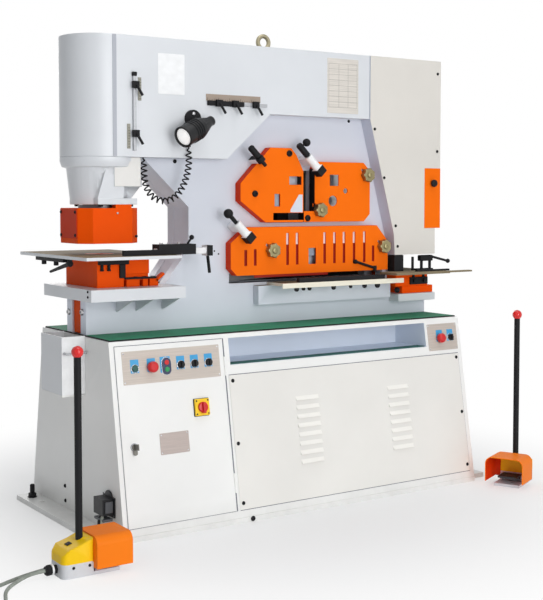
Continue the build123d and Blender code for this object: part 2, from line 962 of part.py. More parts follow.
def shear_beam():
    """Swinging beam between the plates, with pockets and ways through that match the plates."""
    outline = [
        (pivot_x, pivot_height + pivot_boss_radius), (beam_head_left_x, beam_head_left_height),
        (beam_head_right_x, beam_head_right_height), (beam_pad_left, beam_pad_height), (
            beam_right, beam_pad_height
        ),
        (beam_right, beam_notch_height), (beam_notch_left, beam_notch_height),
        (beam_notch_left - beam_notch_height + beam_bottom, beam_bottom), (beam_left, beam_bottom),
        (pivot_x, pivot_height - pivot_boss_radius),
    ]
    front = -beam_half_thickness
    back = beam_half_thickness
    beam = profile(outline, front, back)
    beam += rod((pivot_x, front, pivot_height), (pivot_x, back, pivot_height), pivot_boss_radius)
    beam -= rod(
        (pivot_x, front - overrun, pivot_height),
        (pivot_x, back + overrun, pivot_height),
        pivot_radius + running,
    )
    beam -= corner_passage(passage_margin, front - overrun, back + overrun)
    for hole in bar_passages(passage_margin, front - overrun, back + overrun):
        beam -= hole
    beam -= block(corner_blade_x, (front, front + blade_depth), corner_blade_z)
    return beam - block(bar_blade_x, (front, front + blade_depth), bar_blade_z)


def blade_inserts(front):
    """Hard inserts: the L-shaped cutter for angle and the holed cutter for bar."""
    back = front + blade_depth
    corner = block(corner_blade_x, (front, back), corner_blade_z) - corner_passage(
        0, front - overrun, back + overrun
    )
    bar = block(bar_blade_x, (front, back), bar_blade_z)
    for hole in bar_passages(0, front - overrun, back + overrun):
        bar -= hole
    return [corner, bar]


def fixed_blades():
    """Blades that stay in the frame."""
    flat_y = (-plate_inner - flat_blade_depth, -plate_inner)
    flat = block(
        (flat_blade_left, flat_blade_right), flat_y, (jaw_height - flat_blade_height, jaw_height)
    )
    return [flat] + blade_inserts(-plate_inner - blade_depth)


def moving_blades():
    """Blades carried by the beam: the raked flat blade, the inserts and the notching punch."""
    front = -beam_half_thickness
    rake = [
        (flat_blade_left, jaw_height + flat_gap_left), (flat_blade_right, jaw_height + flat_gap_right),
        (flat_blade_right, beam_bottom), (flat_blade_left, beam_bottom),
    ]
    flat = profile(rake, front, front + flat_blade_depth)
    punch_y = (-notch_punch_half_depth, notch_punch_half_depth)
    notch = block((notch_punch_left, notch_punch_right), punch_y, (notch_punch_bottom, beam_notch_height))
    return [flat, notch] + blade_inserts(front)


def shear_cylinder():
    """Cylinder that pushes the beam's free end down, on a tongue held between the plates."""
    body = upright(shear_cylinder_x, 0, shear_cylinder_bottom, shear_cylinder_top, shear_cylinder_radius)
    tongue_z = (cylinder_tongue_bottom, shear_cylinder_top)
    body += block((cylinder_tongue_left, shear_cylinder_x), (-plate_inner, plate_inner), tongue_z)
    bore_top = shear_rod_top + overrun
    return body - upright(
        shear_cylinder_x, 0, shear_cylinder_bottom - overrun, bore_top, shear_rod_radius + fit
    )


def cylinder_rod():
    """Piston rod with a domed end that bears on the beam."""
    radius = shear_rod_radius
    dome_middle = beam_pad_height + slip + radius
    turns = [math.pi / 2 * facet / rod_dome_facets for facet in range(rod_dome_facets + 1)]
    outline = [(radius * math.sin(turn), dome_middle - radius * math.cos(turn)) for turn in turns]
    outline += [(radius, shear_rod_top), (0, shear_rod_top)]
    half = Plane.XZ * make_face(Polyline(*outline, close=True))
    return Pos(shear_cylinder_x, 0, 0) * revolve(half, axis=Axis.Z)


# Covers over the upper frame
def upper_cover():
    """Folded sheet cover over the upper frame, open towards the punch housing and the end cover."""
    right = cover_joint_x - slip
    outline = [
        (punch_x, upper_jaw_height), (cover_step_left, upper_jaw_height), (
            cover_step_right, cover_step_height
        ),
        (right, cover_step_height), (right, cover_top), (punch_x, cover_top),
    ]
    cover = profile_shell(outline, cover_half_depth, cover_sheet)
    room = cover_half_depth - cover_sheet
    end_z = (upper_jaw_height + cover_sheet, cover_top - cover_sheet)
    cover -= block((punch_x - overrun, punch_x + overrun), (-room, room), end_z)
    cover -= block(
        (right - overrun, right + overrun),
        (-room, room),
        (cover_step_height + cover_sheet, cover_top - cover_sheet),
    )
    frame_y = (-plate_outer - fit, plate_outer + fit)
    cover -= block(
        (punch_x - overrun, right), frame_y, (upper_jaw_height - overrun, cover_step_height + overrun)
    )
    cover -= upright(
        punch_x, 0, upper_jaw_height - overrun, upper_jaw_height + overrun, punch_cylinder_radius + fit
    )
    return cover - upright(eye_x, 0, cover_top - overrun, cover_top + overrun, eye_shank_radius + fit)


def right_cover():
    """Sheet cover over the beam's free end and the shear cylinder, open underneath."""
    outline = [
        (cover_joint_x, cover_top), (end_cover_right, cover_top), (
            end_cover_right, end_cover_notch_height
        ),
        (end_cover_foot_right, end_cover_notch_height), (end_cover_foot_right, end_cover_foot),
        (end_cover_left_low, end_cover_foot), (end_cover_left_mid, end_cover_mid_height),
        (cover_joint_x, end_cover_slope_height),
    ]
    cover = profile_shell(outline, end_cover_half_depth, cover_sheet)
    room = end_cover_half_depth - cover_sheet
    foot_x = (end_cover_left_low + cover_sheet, end_cover_foot_right - cover_sheet)
    cover -= block(foot_x, (-room, room), (end_cover_foot - overrun, end_cover_foot + overrun))
    frame_y = (-plate_outer - fit, plate_outer + fit)
    frame_x = (cover_joint_x - overrun, frame_shoulder_x + fit)
    return cover - block(frame_x, frame_y, (end_cover_foot - overrun, cover_top - cover_sheet))


def lifting_eye():
    """Forged eye bolt screwed into the head of the frame."""
    head_top = frame_top - head_spacer_drop
    shank = upright(eye_x, 0, head_top, cover_top, eye_shank_radius)
    collar_top = cover_top + eye_collar_height
    collar = upright(eye_x, 0, cover_top, collar_top, eye_collar_radius)
    half_side = 180 / eye_section_sides
    section = Pos(eye_ring_radius, 0) * RegularPolygon(eye_wire_radius, eye_section_sides, rotation=half_side)
    ring = Pos(eye_x, 0, collar_top + eye_ring_radius) * revolve(section, axis=Axis.Y)
    return shank + collar + ring


# Punch end
def punch_housing():
    """Half-round sheet housing over the punch cylinder."""
    drum = upright(punch_x, 0, upper_jaw_height, cover_top, housing_radius)
    room = housing_radius - cover_sheet
    drum -= upright(punch_x, 0, upper_jaw_height - overrun, cover_top - cover_sheet, room)
    half = (punch_x - housing_radius, punch_x)
    return drum & block(half, (-housing_radius, housing_radius), (upper_jaw_height, cover_top))


def punch_cylinder():
    """Hydraulic cylinder of the punch, standing on the neck casting."""
    body = upright(punch_x, 0, upper_jaw_height, punch_cylinder_top, punch_cylinder_radius)
    return body - upright(punch_x, 0, upper_jaw_height - overrun, ram_top + overrun, ram_radius + fit)


def neck_casting():
    """Tapered casting that guides the ram, with a flange below and a block that bolts to the frame."""
    turned = [
        (0, neck_flange_bottom), (neck_low_radius, neck_flange_bottom), (neck_low_radius, neck_low),
        (neck_high_radius, neck_high), (neck_lip_radius, neck_lip_low),
        (housing_radius, upper_jaw_height - neck_lip_height), (housing_radius, upper_jaw_height), (
            0, upper_jaw_height
        ),
    ]
    neck = Pos(punch_x, 0, 0) * revolve(Plane.XZ * make_face(Polyline(*turned, close=True)), axis=Axis.Z)
    flange_y = (-neck_flange_half_depth, neck_flange_half_depth)
    neck += block((neck_flange_left, neck_flange_right), flange_y, (neck_flange_bottom, neck_low))
    block_y = (-plate_outer, plate_outer)
    neck += block((neck_block_left, neck_block_right), block_y, (neck_block_bottom, upper_jaw_height))
    web = [
        (neck_block_left, neck_low), (neck_flange_right, neck_low), (neck_block_right, neck_block_bottom),
        (neck_block_left, neck_block_bottom),
    ]
    neck += profile(web, -neck_web_half_depth, neck_web_half_depth)
    flare = [
        (neck_flange_left, neck_low), (neck_flare_foot_right, neck_low), (neck_flare_top_right, neck_high),
        (neck_flare_top_left, neck_high),
    ]
    neck += profile(flare, -neck_flare_half_depth, neck_flare_half_depth)
    pad_y = (-neck_pad_half_depth, neck_pad_half_depth)
    neck += block((neck_pad_left, neck_pad_right), pad_y, (neck_block_bottom, upper_jaw_height))
    tongue_y = (-plate_inner, plate_inner)
    neck += block((upper_frame_left, neck_tongue_right), tongue_y, (upper_jaw_height, neck_tongue_top))
    neck += block((upper_frame_left, neck_block_right), tongue_y, (neck_block_bottom, upper_jaw_height))
    return neck - upright(
        punch_x, 0, neck_flange_bottom - overrun, upper_jaw_height + overrun, ram_radius + fit
    )


def punch_ram():
    """Ram with its collar and holder, and the punch in it."""
    ram = upright(punch_x, 0, ram_bottom, ram_top, ram_radius)
    ram += upright(punch_x, 0, ram_bottom, ram_bottom + ram_collar_height, ram_collar_radius)
    ram += upright(punch_x, 0, punch_holder_bottom, ram_bottom, punch_holder_radius)
    punch = upright(punch_x, 0, punch_tip, punch_holder_bottom, punch_radius)
    return [ram, punch]


def stripper():
    """Chamfered stripper box round the punch, hung from the neck's flange."""
    length = stripper_half_length
    depth = stripper_half_depth
    cut = stripper_chamfer
    plan = [
        (-length, -depth + cut), (-length + cut, -depth), (length - cut, -depth), (length, -depth + cut),
        (length, depth - cut), (length - cut, depth), (-length + cut, depth), (-length, depth - cut),
    ]
    box = extrude(
        Pos(punch_x, 0, stripper_bottom) * make_face(Polyline(*plan, close=True)),
        amount=ram_bottom - stripper_bottom,
    )
    for side in (-1, 1):
        lug_y = sorted((side * (stripper_bore + cover_sheet), side * depth))
        box += block((stripper_lug_left, stripper_lug_right), lug_y, (ram_bottom, neck_flange_bottom))
    box -= upright(
        punch_x, 0, stripper_bottom + stripper_floor, neck_flange_bottom + overrun, stripper_bore
    )
    return box - upright(
        punch_x, 0, stripper_bottom - overrun, stripper_bottom + stripper_floor + overrun, stripper_hole
    )


tray_top = jaw_height + tray_thickness


def work_tray():
    """Flanged tray on the lower jaw, carried by gussets on both sides of the frame."""
    tray = block((tray_left, tray_right), (tray_front, tray_back), (tray_top - tray_apron, tray_top))
    wall = tray_apron_sheet
    under = (tray_top - tray_apron - overrun, jaw_height)
    tray -= block((tray_left + wall, tray_right - wall), (tray_front + wall, tray_back - wall), under)
    frame_y = (-plate_outer - fit, plate_outer + fit)
    tray -= block(
        (throat_foot_x - fit, tray_right + overrun),
        frame_y,
        (tray_top - tray_apron - overrun, tray_top + overrun),
    )
    for side, end in ((-1, tray_front + wall), (1, tray_back - wall)):
        root = side * plate_outer
        web = [
            (root, jaw_height), (end, jaw_height), (end, tray_top - tray_apron), (
                root, jaw_height - gusset_drop
            ),
        ]
        for x in gusset_places:
            tray += cross_section(web, x, x + wall)
    return tray - upright(punch_x, 0, jaw_height - overrun, tray_top + overrun, die_hole + fit)


table_top = table_bottom + table_thickness


def die_block():
    """Die bolster with its insert, and the small blocks that clamp it."""
    depth = (-die_half_depth, die_half_depth)
    bolster = block((die_left, die_step_x), depth, (tray_top, table_bottom))
    bolster += block((die_step_x, die_right), depth, (table_bottom - die_overhang_thickness, table_bottom))
    bolster += upright(punch_x, 0, table_bottom, table_top, die_insert_radius)
    bolster -= upright(punch_x, 0, tray_top - overrun, table_top + overrun, die_hole)
    clamp_y = (-die_half_depth, -die_half_depth + clamp_block_depth)
    clamp_z = (tray_top, tray_top + clamp_block_height)
    return [bolster] + [block(span, clamp_y, clamp_z) for span in clamp_block_places]


guide_back = guide_front + guide_size
guide_top = table_top + guide_size


def punch_table():
    """Thin support table round the die, with the guide bar of the fence and its clamp lever."""
    table = block((table_left, table_right), (table_front, table_back), (table_bottom, table_top))
    table -= upright(punch_x, 0, table_bottom - overrun, table_top + overrun, die_insert_radius + fit)
    table += block((guide_left, guide_right), (guide_front, guide_back), (table_top, guide_top))
    end_y = (guide_front - guide_end_margin, guide_back + guide_end_margin)
    end_z = (table_top - guide_end_margin, guide_top + guide_end_margin)
    table += block((guide_right, guide_right + guide_end_length), end_y, end_z)
    lever_x = guide_right + guide_end_length / 2
    lever_y = (guide_front + guide_back) / 2
    lever_low = (lever_x + lever_radius, lever_y - lever_radius, table_top - lever_drop)
    return table + rod((lever_x, lever_y, table_top), lever_low, lever_radius)


def punch_fence():
    """Sliding fence: a sleeve on the guide bar with a long stop bar."""
    wall = fence_sleeve_wall
    floor = table_top + fit
    sleeve_y = (guide_front - wall, guide_back + wall)
    fence = block((fence_sleeve_left, fence_sleeve_right), sleeve_y, (floor, guide_top + wall))
    groove_y = (guide_front - fit, guide_back + fit)
    fence -= block(
        (fence_sleeve_left - overrun, fence_sleeve_right + overrun),
        groove_y,
        (floor - overrun, guide_top + fit),
    )
    bar_y = (guide_front - fit - fence_bar_depth, guide_front - fit)
    return fence + block((fence_left, fence_sleeve_left + wall), bar_y, (floor, floor + fence_bar_height))


# Guards over the shears
def guard_shell(points, back):
    """Folded guard: a flat front with a rim that reaches back to the frame."""
    front_face = make_face(Polyline(*points, close=True))
    room = offset(front_face, amount=-guard_sheet, kind=Kind.INTERSECTION)
    return stand(front_face, -guard_front, back) - stand(room, -guard_front + guard_sheet, back + overrun)


guard_cut_y = (-guard_front - overrun, -guard_front + guard_sheet + overrun)


def share_window(shares, left, bottom, length, height):
    """Cutter for a window given as shares of a guard: left, right, low and high."""
    x = (left + shares[0] * length, left + shares[1] * length)
    return block(x, guard_cut_y, (bottom + shares[2] * height, bottom + shares[3] * height))


def corner_guard():
    """Fixed guard over the angle shear."""
    length = corner_guard_right - corner_guard_left
    outline = outline_from(
        corner_guard_shares, corner_guard_left, guard_line, length, corner_guard_height
    )
    guard = guard_shell(outline, -plate_outer)
    for shares in (corner_window_shares, corner_slit_shares):
        guard -= share_window(shares, corner_guard_left, guard_line, length, corner_guard_height)
    foot_z = (corner_bottom + guard_sheet, corner_bottom + corner_slot_along)
    return guard - block(
        (corner_left, corner_guard_right + overrun), (-guard_front - overrun, -plate_outer), foot_z
    )


def knob_place(name):
    """Where a locking knob stands, from its share of the guard that it holds."""
    along, up = knob_shares[name]
    if name.startswith("flat"):
        return (
            flat_guard_left + along * (flat_guard_right - flat_guard_left),
            flat_guard_bottom + up * flat_guard_height,
        )
    return (
        bar_guard_left + along * (bar_guard_right - bar_guard_left), guard_line + up * bar_guard_height
    )


def adjust_slot(name):
    """Sloping slot in a guard, with the knob's stud at its lower end."""
    x, z = knob_place(name)
    back_off = (adjust_slot_length - adjust_slot_width) / 2 * math.sqrt(0.5)
    slot = Pos(x - back_off, z + back_off) * (
        Rot(0, 0, -45) * SlotOverall(adjust_slot_length, adjust_slot_width)
    )
    return stand(slot, *guard_cut_y)


def bar_guard():
    """Adjustable guard over the bar shear."""
    length = bar_guard_right - bar_guard_left
    outline = outline_from(bar_guard_shares, bar_guard_left, guard_line, length, bar_guard_height)
    guard = guard_shell(outline, -plate_outer - fit)
    for hole in bar_passages(0, *guard_cut_y):
        guard -= hole
    return guard - adjust_slot("bar_low") - adjust_slot("bar_high")


def flat_guard():
    """Adjustable guard over the flat shear, slotted so that the blade can be seen."""
    length = flat_guard_right - flat_guard_left
    outline = outline_from(
        flat_guard_shares, flat_guard_left, flat_guard_bottom, length, flat_guard_height
    )
    guard = guard_shell(outline, -plate_outer - fit)
    slots = list(short_slot_shares) + [(along, *long_slot_span_share) for along in long_slot_places_share]
    for along, low, high in slots:
        x = flat_guard_left + along * length
        z = (flat_guard_bottom + low * flat_guard_height, flat_guard_bottom + high * flat_guard_height)
        guard -= block((x - flat_guard_slot_width / 2, x + flat_guard_slot_width / 2), guard_cut_y, z)
    guard -= block(
        (viewing_left, viewing_right),
        (-guard_front - overrun, -plate_outer),
        (viewing_bottom, viewing_top),
    )
    return guard - adjust_slot("flat_left") - adjust_slot("flat_right")


def locking_knob(name):
    """Lobed knob on a stud that stands on the frame."""
    x, z = knob_place(name)
    seat = -guard_front - fit
    lobes = stand(Pos(x, z) * RegularPolygon(knob_radius, knob_sides), seat - knob_reach, seat)
    lobes = fillet(lobes.edges().filter_by(Axis.Y), knob_round)
    return lobes + rod((x, -plate_outer, z), (x, seat, z), stud_radius)


def along_holddown(spec):
    """Frame of a hold-down screw: along the slope, away from the work."""
    x, z = spec["tip"]
    return Plane(origin=(x, holddown_y, z), x_dir=(0, 1, 0), z_dir=(-1, 0, 1))


def slope_bar(spec, low, high, radius):
    """Round bar along a hold-down screw."""
    bar = Cylinder(radius, high - low, align=(Align.CENTER, Align.CENTER, Align.MIN))
    return along_holddown(spec).offset(low) * bar


def holddown_mount(spec):
    """Sleeve of a hold-down screw on its post, with the clamp block at its end."""
    low, high = spec["sleeve"]
    mount = slope_bar(spec, low, high, holddown_sleeve_radius)
    if spec["block"]:
        size = Box(holddown_block, holddown_block, low, align=(Align.CENTER, Align.CENTER, Align.MIN))
        mount += along_holddown(spec) * size
    post_low, post_high = spec["post"]
    post = Box(
        -plate_outer - holddown_y,
        holddown_post_width,
        post_high - post_low,
        align=(Align.MIN, Align.CENTER, Align.MIN),
    )
    mount += along_holddown(spec).offset(post_low) * post
    return mount - slope_bar(spec, -overrun, high + overrun, holddown_rod_radius + fit)


def holddown_screw(spec):
    """Screw with its grip."""
    end = spec["sleeve"][1]
    screw = slope_bar(spec, -holddown_rod_radius / 2, end + slip, holddown_rod_radius)
    return screw + slope_bar(spec, end + slip, end + slip + spec["handle"], holddown_handle_radius)


def guard_fittings():
    """Locking knobs of the guards and the mounts of the hold-down screws."""
    knobs = [locking_knob(name) for name in knob_shares]
    return knobs + [holddown_mount(spec) for spec in holddowns.values()]


# Flat-bar table and notcher
def flat_table():
    """Support table of the flat shear on its bolster, with a fence bar."""
    bolster = block(
        (bolster_left, bolster_right),
        (-guard_front, -plate_outer),
        (bolster_bottom, jaw_height - flat_table_thickness),
    )
    table_z = (jaw_height - flat_table_thickness, jaw_height)
    table = block((flat_table_left, flat_table_right), (flat_table_front, -plate_outer), table_z)
    fence_y = (flat_fence_front, flat_fence_front + flat_fence_depth)
    fence = block(
        (flat_fence_left, flat_fence_right), fence_y, (jaw_height, jaw_height + flat_fence_height)
    )
    return bolster + table + fence


notch_slot_x = (notch_slot_left, notch_slot_right)
notch_slot_y = (-notch_slot_half_depth, notch_slot_half_depth)
notch_slot_z = (frame_step_height - overrun, notch_table_bottom + notch_table_thickness + overrun)


def notch_table():
    """Thin table of the notcher with a measuring rail that runs on to the right."""
    top = notch_table_bottom + notch_table_thickness
    z = (notch_table_bottom, top)
    table = block((frame_shoulder_x + fit, notch_table_right), (notch_table_front, notch_table_back), z)
    table += block((notch_table_left, notch_table_right), (notch_table_front, notch_table_inner_back), z)
    rail_y = (notch_table_front, notch_table_front + notch_rail_depth)
    table += block((notch_table_right, notch_rail_right), rail_y, (top - notch_rail_height, top))
    return table - block(notch_slot_x, notch_slot_y, notch_slot_z)


def notch_die():
    """Shelf, lower block and die of the notcher, stacked on the frame's step."""
    shelf_high = frame_step_height + notch_shelf_height
    block_high = shelf_high + notch_block_height
    left = frame_shoulder_x + fit
    shelf_y = (-notch_shelf_half_depth, notch_shelf_half_depth)
    shelf = block((left, notch_table_right), shelf_y, (frame_step_height, shelf_high))
    block_y = (-notch_block_half_depth, notch_block_half_depth)
    lower = block((notch_block_left, notch_block_right), block_y, (shelf_high, block_high))
    die_z = (block_high, notch_table_bottom)
    die = block((left, notch_die_right), (-notch_die_half_depth, notch_die_half_depth), die_z)
    die += block((notch_die_left, notch_die_right), (-notch_die_half_depth, -plate_outer - fit), die_z)
    slot = block(notch_slot_x, notch_slot_y, notch_slot_z)
    return [shelf - slot, lower - slot, die - slot]


# Fittings on the upper cover
def stop_clamp_block(x, z):
    """Stop on a stroke rail with its clamp lever."""
    front = -cover_half_depth - stop_rail_depth
    half = stop_clamp / 2
    stop = block((x - half, x + half), (front - half, front), (z - half, z + half))
    knee = (x, front - half, z)
    drop = stop_lever_length * math.sqrt(0.75)
    return stop + rod(
        knee, (x + stop_lever_length / 2, front - half - stop_lever_radius, z - drop), stop_lever_radius
    )


def stroke_stops():
    """Stroke rails on the cover, with their stops."""
    rail_y = (-cover_half_depth - stop_rail_depth, -cover_half_depth)
    half = stop_rail_width / 2
    rail = block((stop_rail_x - half, stop_rail_x + half), rail_y, (stop_rail_bottom, stop_rail_top))
    bar = block((stop_bar_left, stop_bar_right), rail_y, (stop_bar_height - half, stop_bar_height + half))
    stops = [stop_clamp_block(stop_rail_x, z) for z in stop_heights]
    stops += [stop_clamp_block(x, stop_bar_height) for x in stop_places]
    return [rail, bar] + stops


lamp_axis = (Vector(*lamp_tail) - Vector(*lamp_lens)).normalized()
lamp_length = (Vector(*lamp_tail) - Vector(*lamp_lens)).length
lamp_pivot = Vector(*lamp_lens) + lamp_axis * (lamp_length * lamp_pivot_share)


def lamp_pin_direction():
    """Square to the lamp's axis, towards the cover and down."""
    towards = Vector(*lamp_pin_shares)
    return (towards - lamp_axis * towards.dot(lamp_axis)).normalized()


def lamp_arm():
    """Lamp bracket: a round base on the cover, a bent arm and the pin that the head turns on."""
    seat = -cover_half_depth
    base = rod(
        (lamp_base_x, seat, lamp_base_height),
        (lamp_base_x, seat - lamp_base_depth, lamp_base_height),
        lamp_base_radius,
    )
    out = lamp_pin_direction()
    foot = lamp_pivot + out * lamp_foot_reach
    arm_start = (lamp_base_x, seat - lamp_base_depth, lamp_base_height)
    arm = rod(arm_start, tuple(foot), lamp_stem_radius - slip)
    arm += Pos(*foot) * Sphere(lamp_stem_radius)
    pin_end = lamp_pivot + out * (lamp_head_radius + fit)
    pin = rod(tuple(pin_end), tuple(foot), lamp_pin_radius)
    gland_end = Vector(*lamp_cord_route[0])
    up = (gland_end - Vector(*lamp_cord_route[1])).normalized()
    gland = rod(tuple(gland_end), tuple(gland_end + up * (foot.Z - gland_end.Z)), lamp_stem_radius)
    return base + arm + pin + gland


def lamp_head():
    """Lamp head: a round shade with a tapered grip behind it."""
    shade = [
        (0, 0), (lamp_head_radius, 0), (lamp_head_radius, lamp_head_length), (
            lamp_tail_radius, lamp_length - lamp_tail_radius
        ),
        (lamp_tail_radius, lamp_length), (0, lamp_length),
    ]
    body = revolve(Plane.XZ * make_face(Polyline(*shade, close=True)), axis=Axis.Z)
    body -= Cylinder(lamp_head_radius - lamp_wall, 2 * lamp_bowl_depth)
    return Plane(origin=lamp_lens, z_dir=lamp_axis) * body


# Slug drawer
def slug_drawer():
    """Open-topped box that catches the slugs, with a wire handle."""
    wall = drawer_sheet
    x = (-cabinet_half_length - drawer_reach, -cabinet_half_length - fit)
    box = block(x, (drawer_front, drawer_back), (drawer_bottom, drawer_top))
    inside_y = (drawer_front + wall, drawer_back - wall)
    box -= block((x[0] + wall, x[1] - wall), inside_y, (drawer_bottom + wall, drawer_top + overrun))
    chute_low = cabinet_height - deck_thickness - slug_hole_height - 2 * sheet
    box -= block((x[1] - 2 * wall, x[1] + overrun), inside_y, (chute_low, drawer_top + overrun))
    middle = (x[0] + x[1]) / 2
    height = drawer_top - handle_drop
    grip_y = drawer_front - handle_reach
    left = middle - handle_half_width
    right = middle + handle_half_width
    for end in (left, right):
        box += rod((end, drawer_front + wall, height), (end, grip_y, height), handle_wire_radius)
        box += Pos(end, grip_y, height) * Sphere(handle_wire_radius)
    return box + rod((left, grip_y, height), (right, grip_y, height), handle_wire_radius)


# Inside the cabinet
tank_top = base_thickness + tank_height


def hydraulic_tank():
    """Oil tank with a filler hole, and the valve block on its lid."""
    depth = (-tank_half_depth, tank_half_depth)
    tank = block((tank_left, tank_right), depth, (base_thickness, tank_top))
    wall = tank_wall
    inside_y = (depth[0] + wall, depth[1] - wall)
    tank -= block(
        (tank_left + wall, tank_right - wall), inside_y, (base_thickness + wall, tank_top - wall)
    )
    tank -= upright(
        tank_left + 2 * valve_coil_length, 0, tank_top - overrun, tank_top + overrun, valve_coil_radius
    )
    half = valve_length / 2
    valve = block(
        (valve_x - half, valve_x + half),
        (-valve_depth / 2, valve_depth / 2),
        (tank_top, tank_top + valve_height),
    )
    for share in valve_coil_shares:
        x = valve_x + share * valve_length
        coil_top = tank_top + valve_height
        valve += upright(x, 0, coil_top, coil_top + valve_coil_length, valve_coil_radius)
    return [tank, valve]


def pump_motor():
    """Electric motor on its feet with the pump flanged to it."""
    axis_z = tank_top + motor_foot_height + motor_radius
    half = motor_length / 2
    motor = rod((motor_x - half, 0, axis_z), (motor_x + half, 0, axis_z), motor_radius)
    foot_y = (-motor_radius * math.sqrt(0.5), motor_radius * math.sqrt(0.5))
    motor += block((motor_x - half / 2, motor_x + half / 2), foot_y, (tank_top, axis_z))
    pump = rod((motor_x + half, 0, axis_z), (motor_x + half + pump_length, 0, axis_z), pump_radius)
    return [motor, pump]


def electric_panel():
    """Mounting plate of the switchgear with two rows of contactors."""
    plate_y = (gear_plate_y, gear_plate_y + gear_plate_sheet)
    panel = block((gear_plate_left, gear_plate_right), plate_y, (base_thickness, gear_plate_top))
    foot_y = (gear_plate_y, gear_plate_y + gear_plate_foot)
    panel += block(
        (gear_plate_left, gear_plate_right), foot_y, (base_thickness, base_thickness + gear_plate_sheet)
    )
    for z in contactor_row_heights:
        for x in contactor_places:
            half = contactor_width / 2
            y = (gear_plate_y - contactor_depth, gear_plate_y)
            panel += block((x - half, x + half), y, (z - contactor_height / 2, z + contactor_height / 2))
    return panel


def cable_socket():
    """Plug and socket of the pedal cable on the cabinet's end wall."""
    wall = -cabinet_half_length
    half = socket_width / 2
    low = socket_height - socket_rise / 2
    body = block(
        (wall - socket_reach, wall),
        (socket_y - half, socket_y + half),
        (low, socket_height + socket_rise / 2),
    )
    end = Vector(*pedal_cable_route[-1])
    back = (end - Vector(*pedal_cable_route[-2])).normalized()
    return body + rod(tuple(end), tuple(end + back * socket_tail_length), socket_tail_radius)


# Foot pedals, drawn along +X and then set in place
def pedal_base():
    """Cast pedal case with its sloping cover, foot plate, cable gland and lifting rod."""
    half = pedal_width / 2
    base = block((0, pedal_length), (-half, half), (0, pedal_plate))
    base += block((0, pedal_case_length), (-half, half), (0, pedal_case_height))
    cover = outline_from(pedal_cover_shares, 0, pedal_case_height, pedal_case_length, pedal_cover_height)
    base += profile(cover, -half, half)
    base += upright(pedal_rod_along, 0, pedal_case_height, pedal_ball_height, pedal_rod_radius)
    base += Pos(pedal_rod_along, 0, pedal_ball_height) * Sphere(pedal_ball_radius)
    base += rod(
        (-pedal_gland_length, 0, pedal_gland_height), (0, 0, pedal_gland_height), pedal_gland_radius
    )
    pin_z = treadle_height - treadle_pin_radius
    pin_x = treadle_start + 2 * treadle_pin_radius
    ear_low = treadle_half_width + slip
    for side in (-1, 1):
        ear_y = sorted((side * ear_low, side * (ear_low + treadle_thickness)))
        ear_x = (pin_x - 2 * treadle_pin_radius, pin_x + 2 * treadle_pin_radius)
        base += block(ear_x, ear_y, (pedal_plate, pin_z + 2 * treadle_pin_radius))
    return base - rod((pin_x, -half, pin_z), (pin_x, half, pin_z), treadle_pin_radius + fit)


def pedal_hood():
    """Arched sheet hood over the treadle, with a back wall against the case."""
    half = pedal_hood_width / 2
    arch = block((pedal_case_length, pedal_hood_end), (-half, half), (pedal_hood_foot, pedal_hood_top))
    top_edges = arch.edges().filter_by(Axis.X).group_by(Axis.Z)[-1]
    arch = fillet(top_edges, pedal_hood_round)
    wall = pedal_hood_sheet
    room = block(
        (pedal_case_length + wall, pedal_hood_end + overrun), (-half + wall, half - wall),
        (pedal_hood_foot - overrun, pedal_hood_top - wall)
    )
    room = fillet(room.edges().filter_by(Axis.X).group_by(Axis.Z)[-1], pedal_hood_round - wall)
    return arch - room


def treadle():
    """Treadle plate on its pin."""
    plate = block(
        (treadle_start, treadle_end),
        (-treadle_half_width, treadle_half_width),
        (treadle_height, treadle_height + treadle_thickness),
    )
    pin_z = treadle_height - treadle_pin_radius
    pin_x = treadle_start + 2 * treadle_pin_radius
    reach = treadle_half_width + treadle_thickness
    plate += rod((pin_x, -reach, pin_z), (pin_x, reach, pin_z), treadle_pin_radius)
    knuckle_x = (pin_x - treadle_pin_radius, pin_x + treadle_pin_radius)
    return plate + block(knuckle_x, (-treadle_half_width, treadle_half_width), (pin_z, treadle_height))


at_left_pedal = Pos(left_pedal[0], left_pedal[1], 0)
at_right_pedal = Pos(right_pedal[0], right_pedal[1], 0) * Rot(0, 0, right_pedal_angle)


# Cords as plain tubes: straight runs joined by arcs as large as the runs allow
run_share = 0.45


def bend_radii(route):
    """Largest arc at each corner of a route."""
    points = [Vector(*point) for point in route]
    radii = []
    for before, corner, after in zip(points, points[1:], points[2:]):
        turn = math.radians((corner - before).get_angle(after - corner))
        shorter = min((corner - before).length, (after - corner).length)
        radii.append(run_share * shorter / math.tan(turn / 2))
    return radii


def cord_tube(name, route, radius):
    """Round tube along a route."""
    radii = bend_radii(route)
    path = FilletPolyline(*route, radius=radii)
    tube = sweep(Plane(origin=path @ 0, z_dir=path % 0) * Circle(radius), path=path)
    expected = math.pi * radius**2 * path.length
    print(
        name,
        "length",
        round(path.length),
        "smallest bend",
        round(min(radii)),
        "volume share",
        round(tube.volume / expected, 4),
    )
    return tube


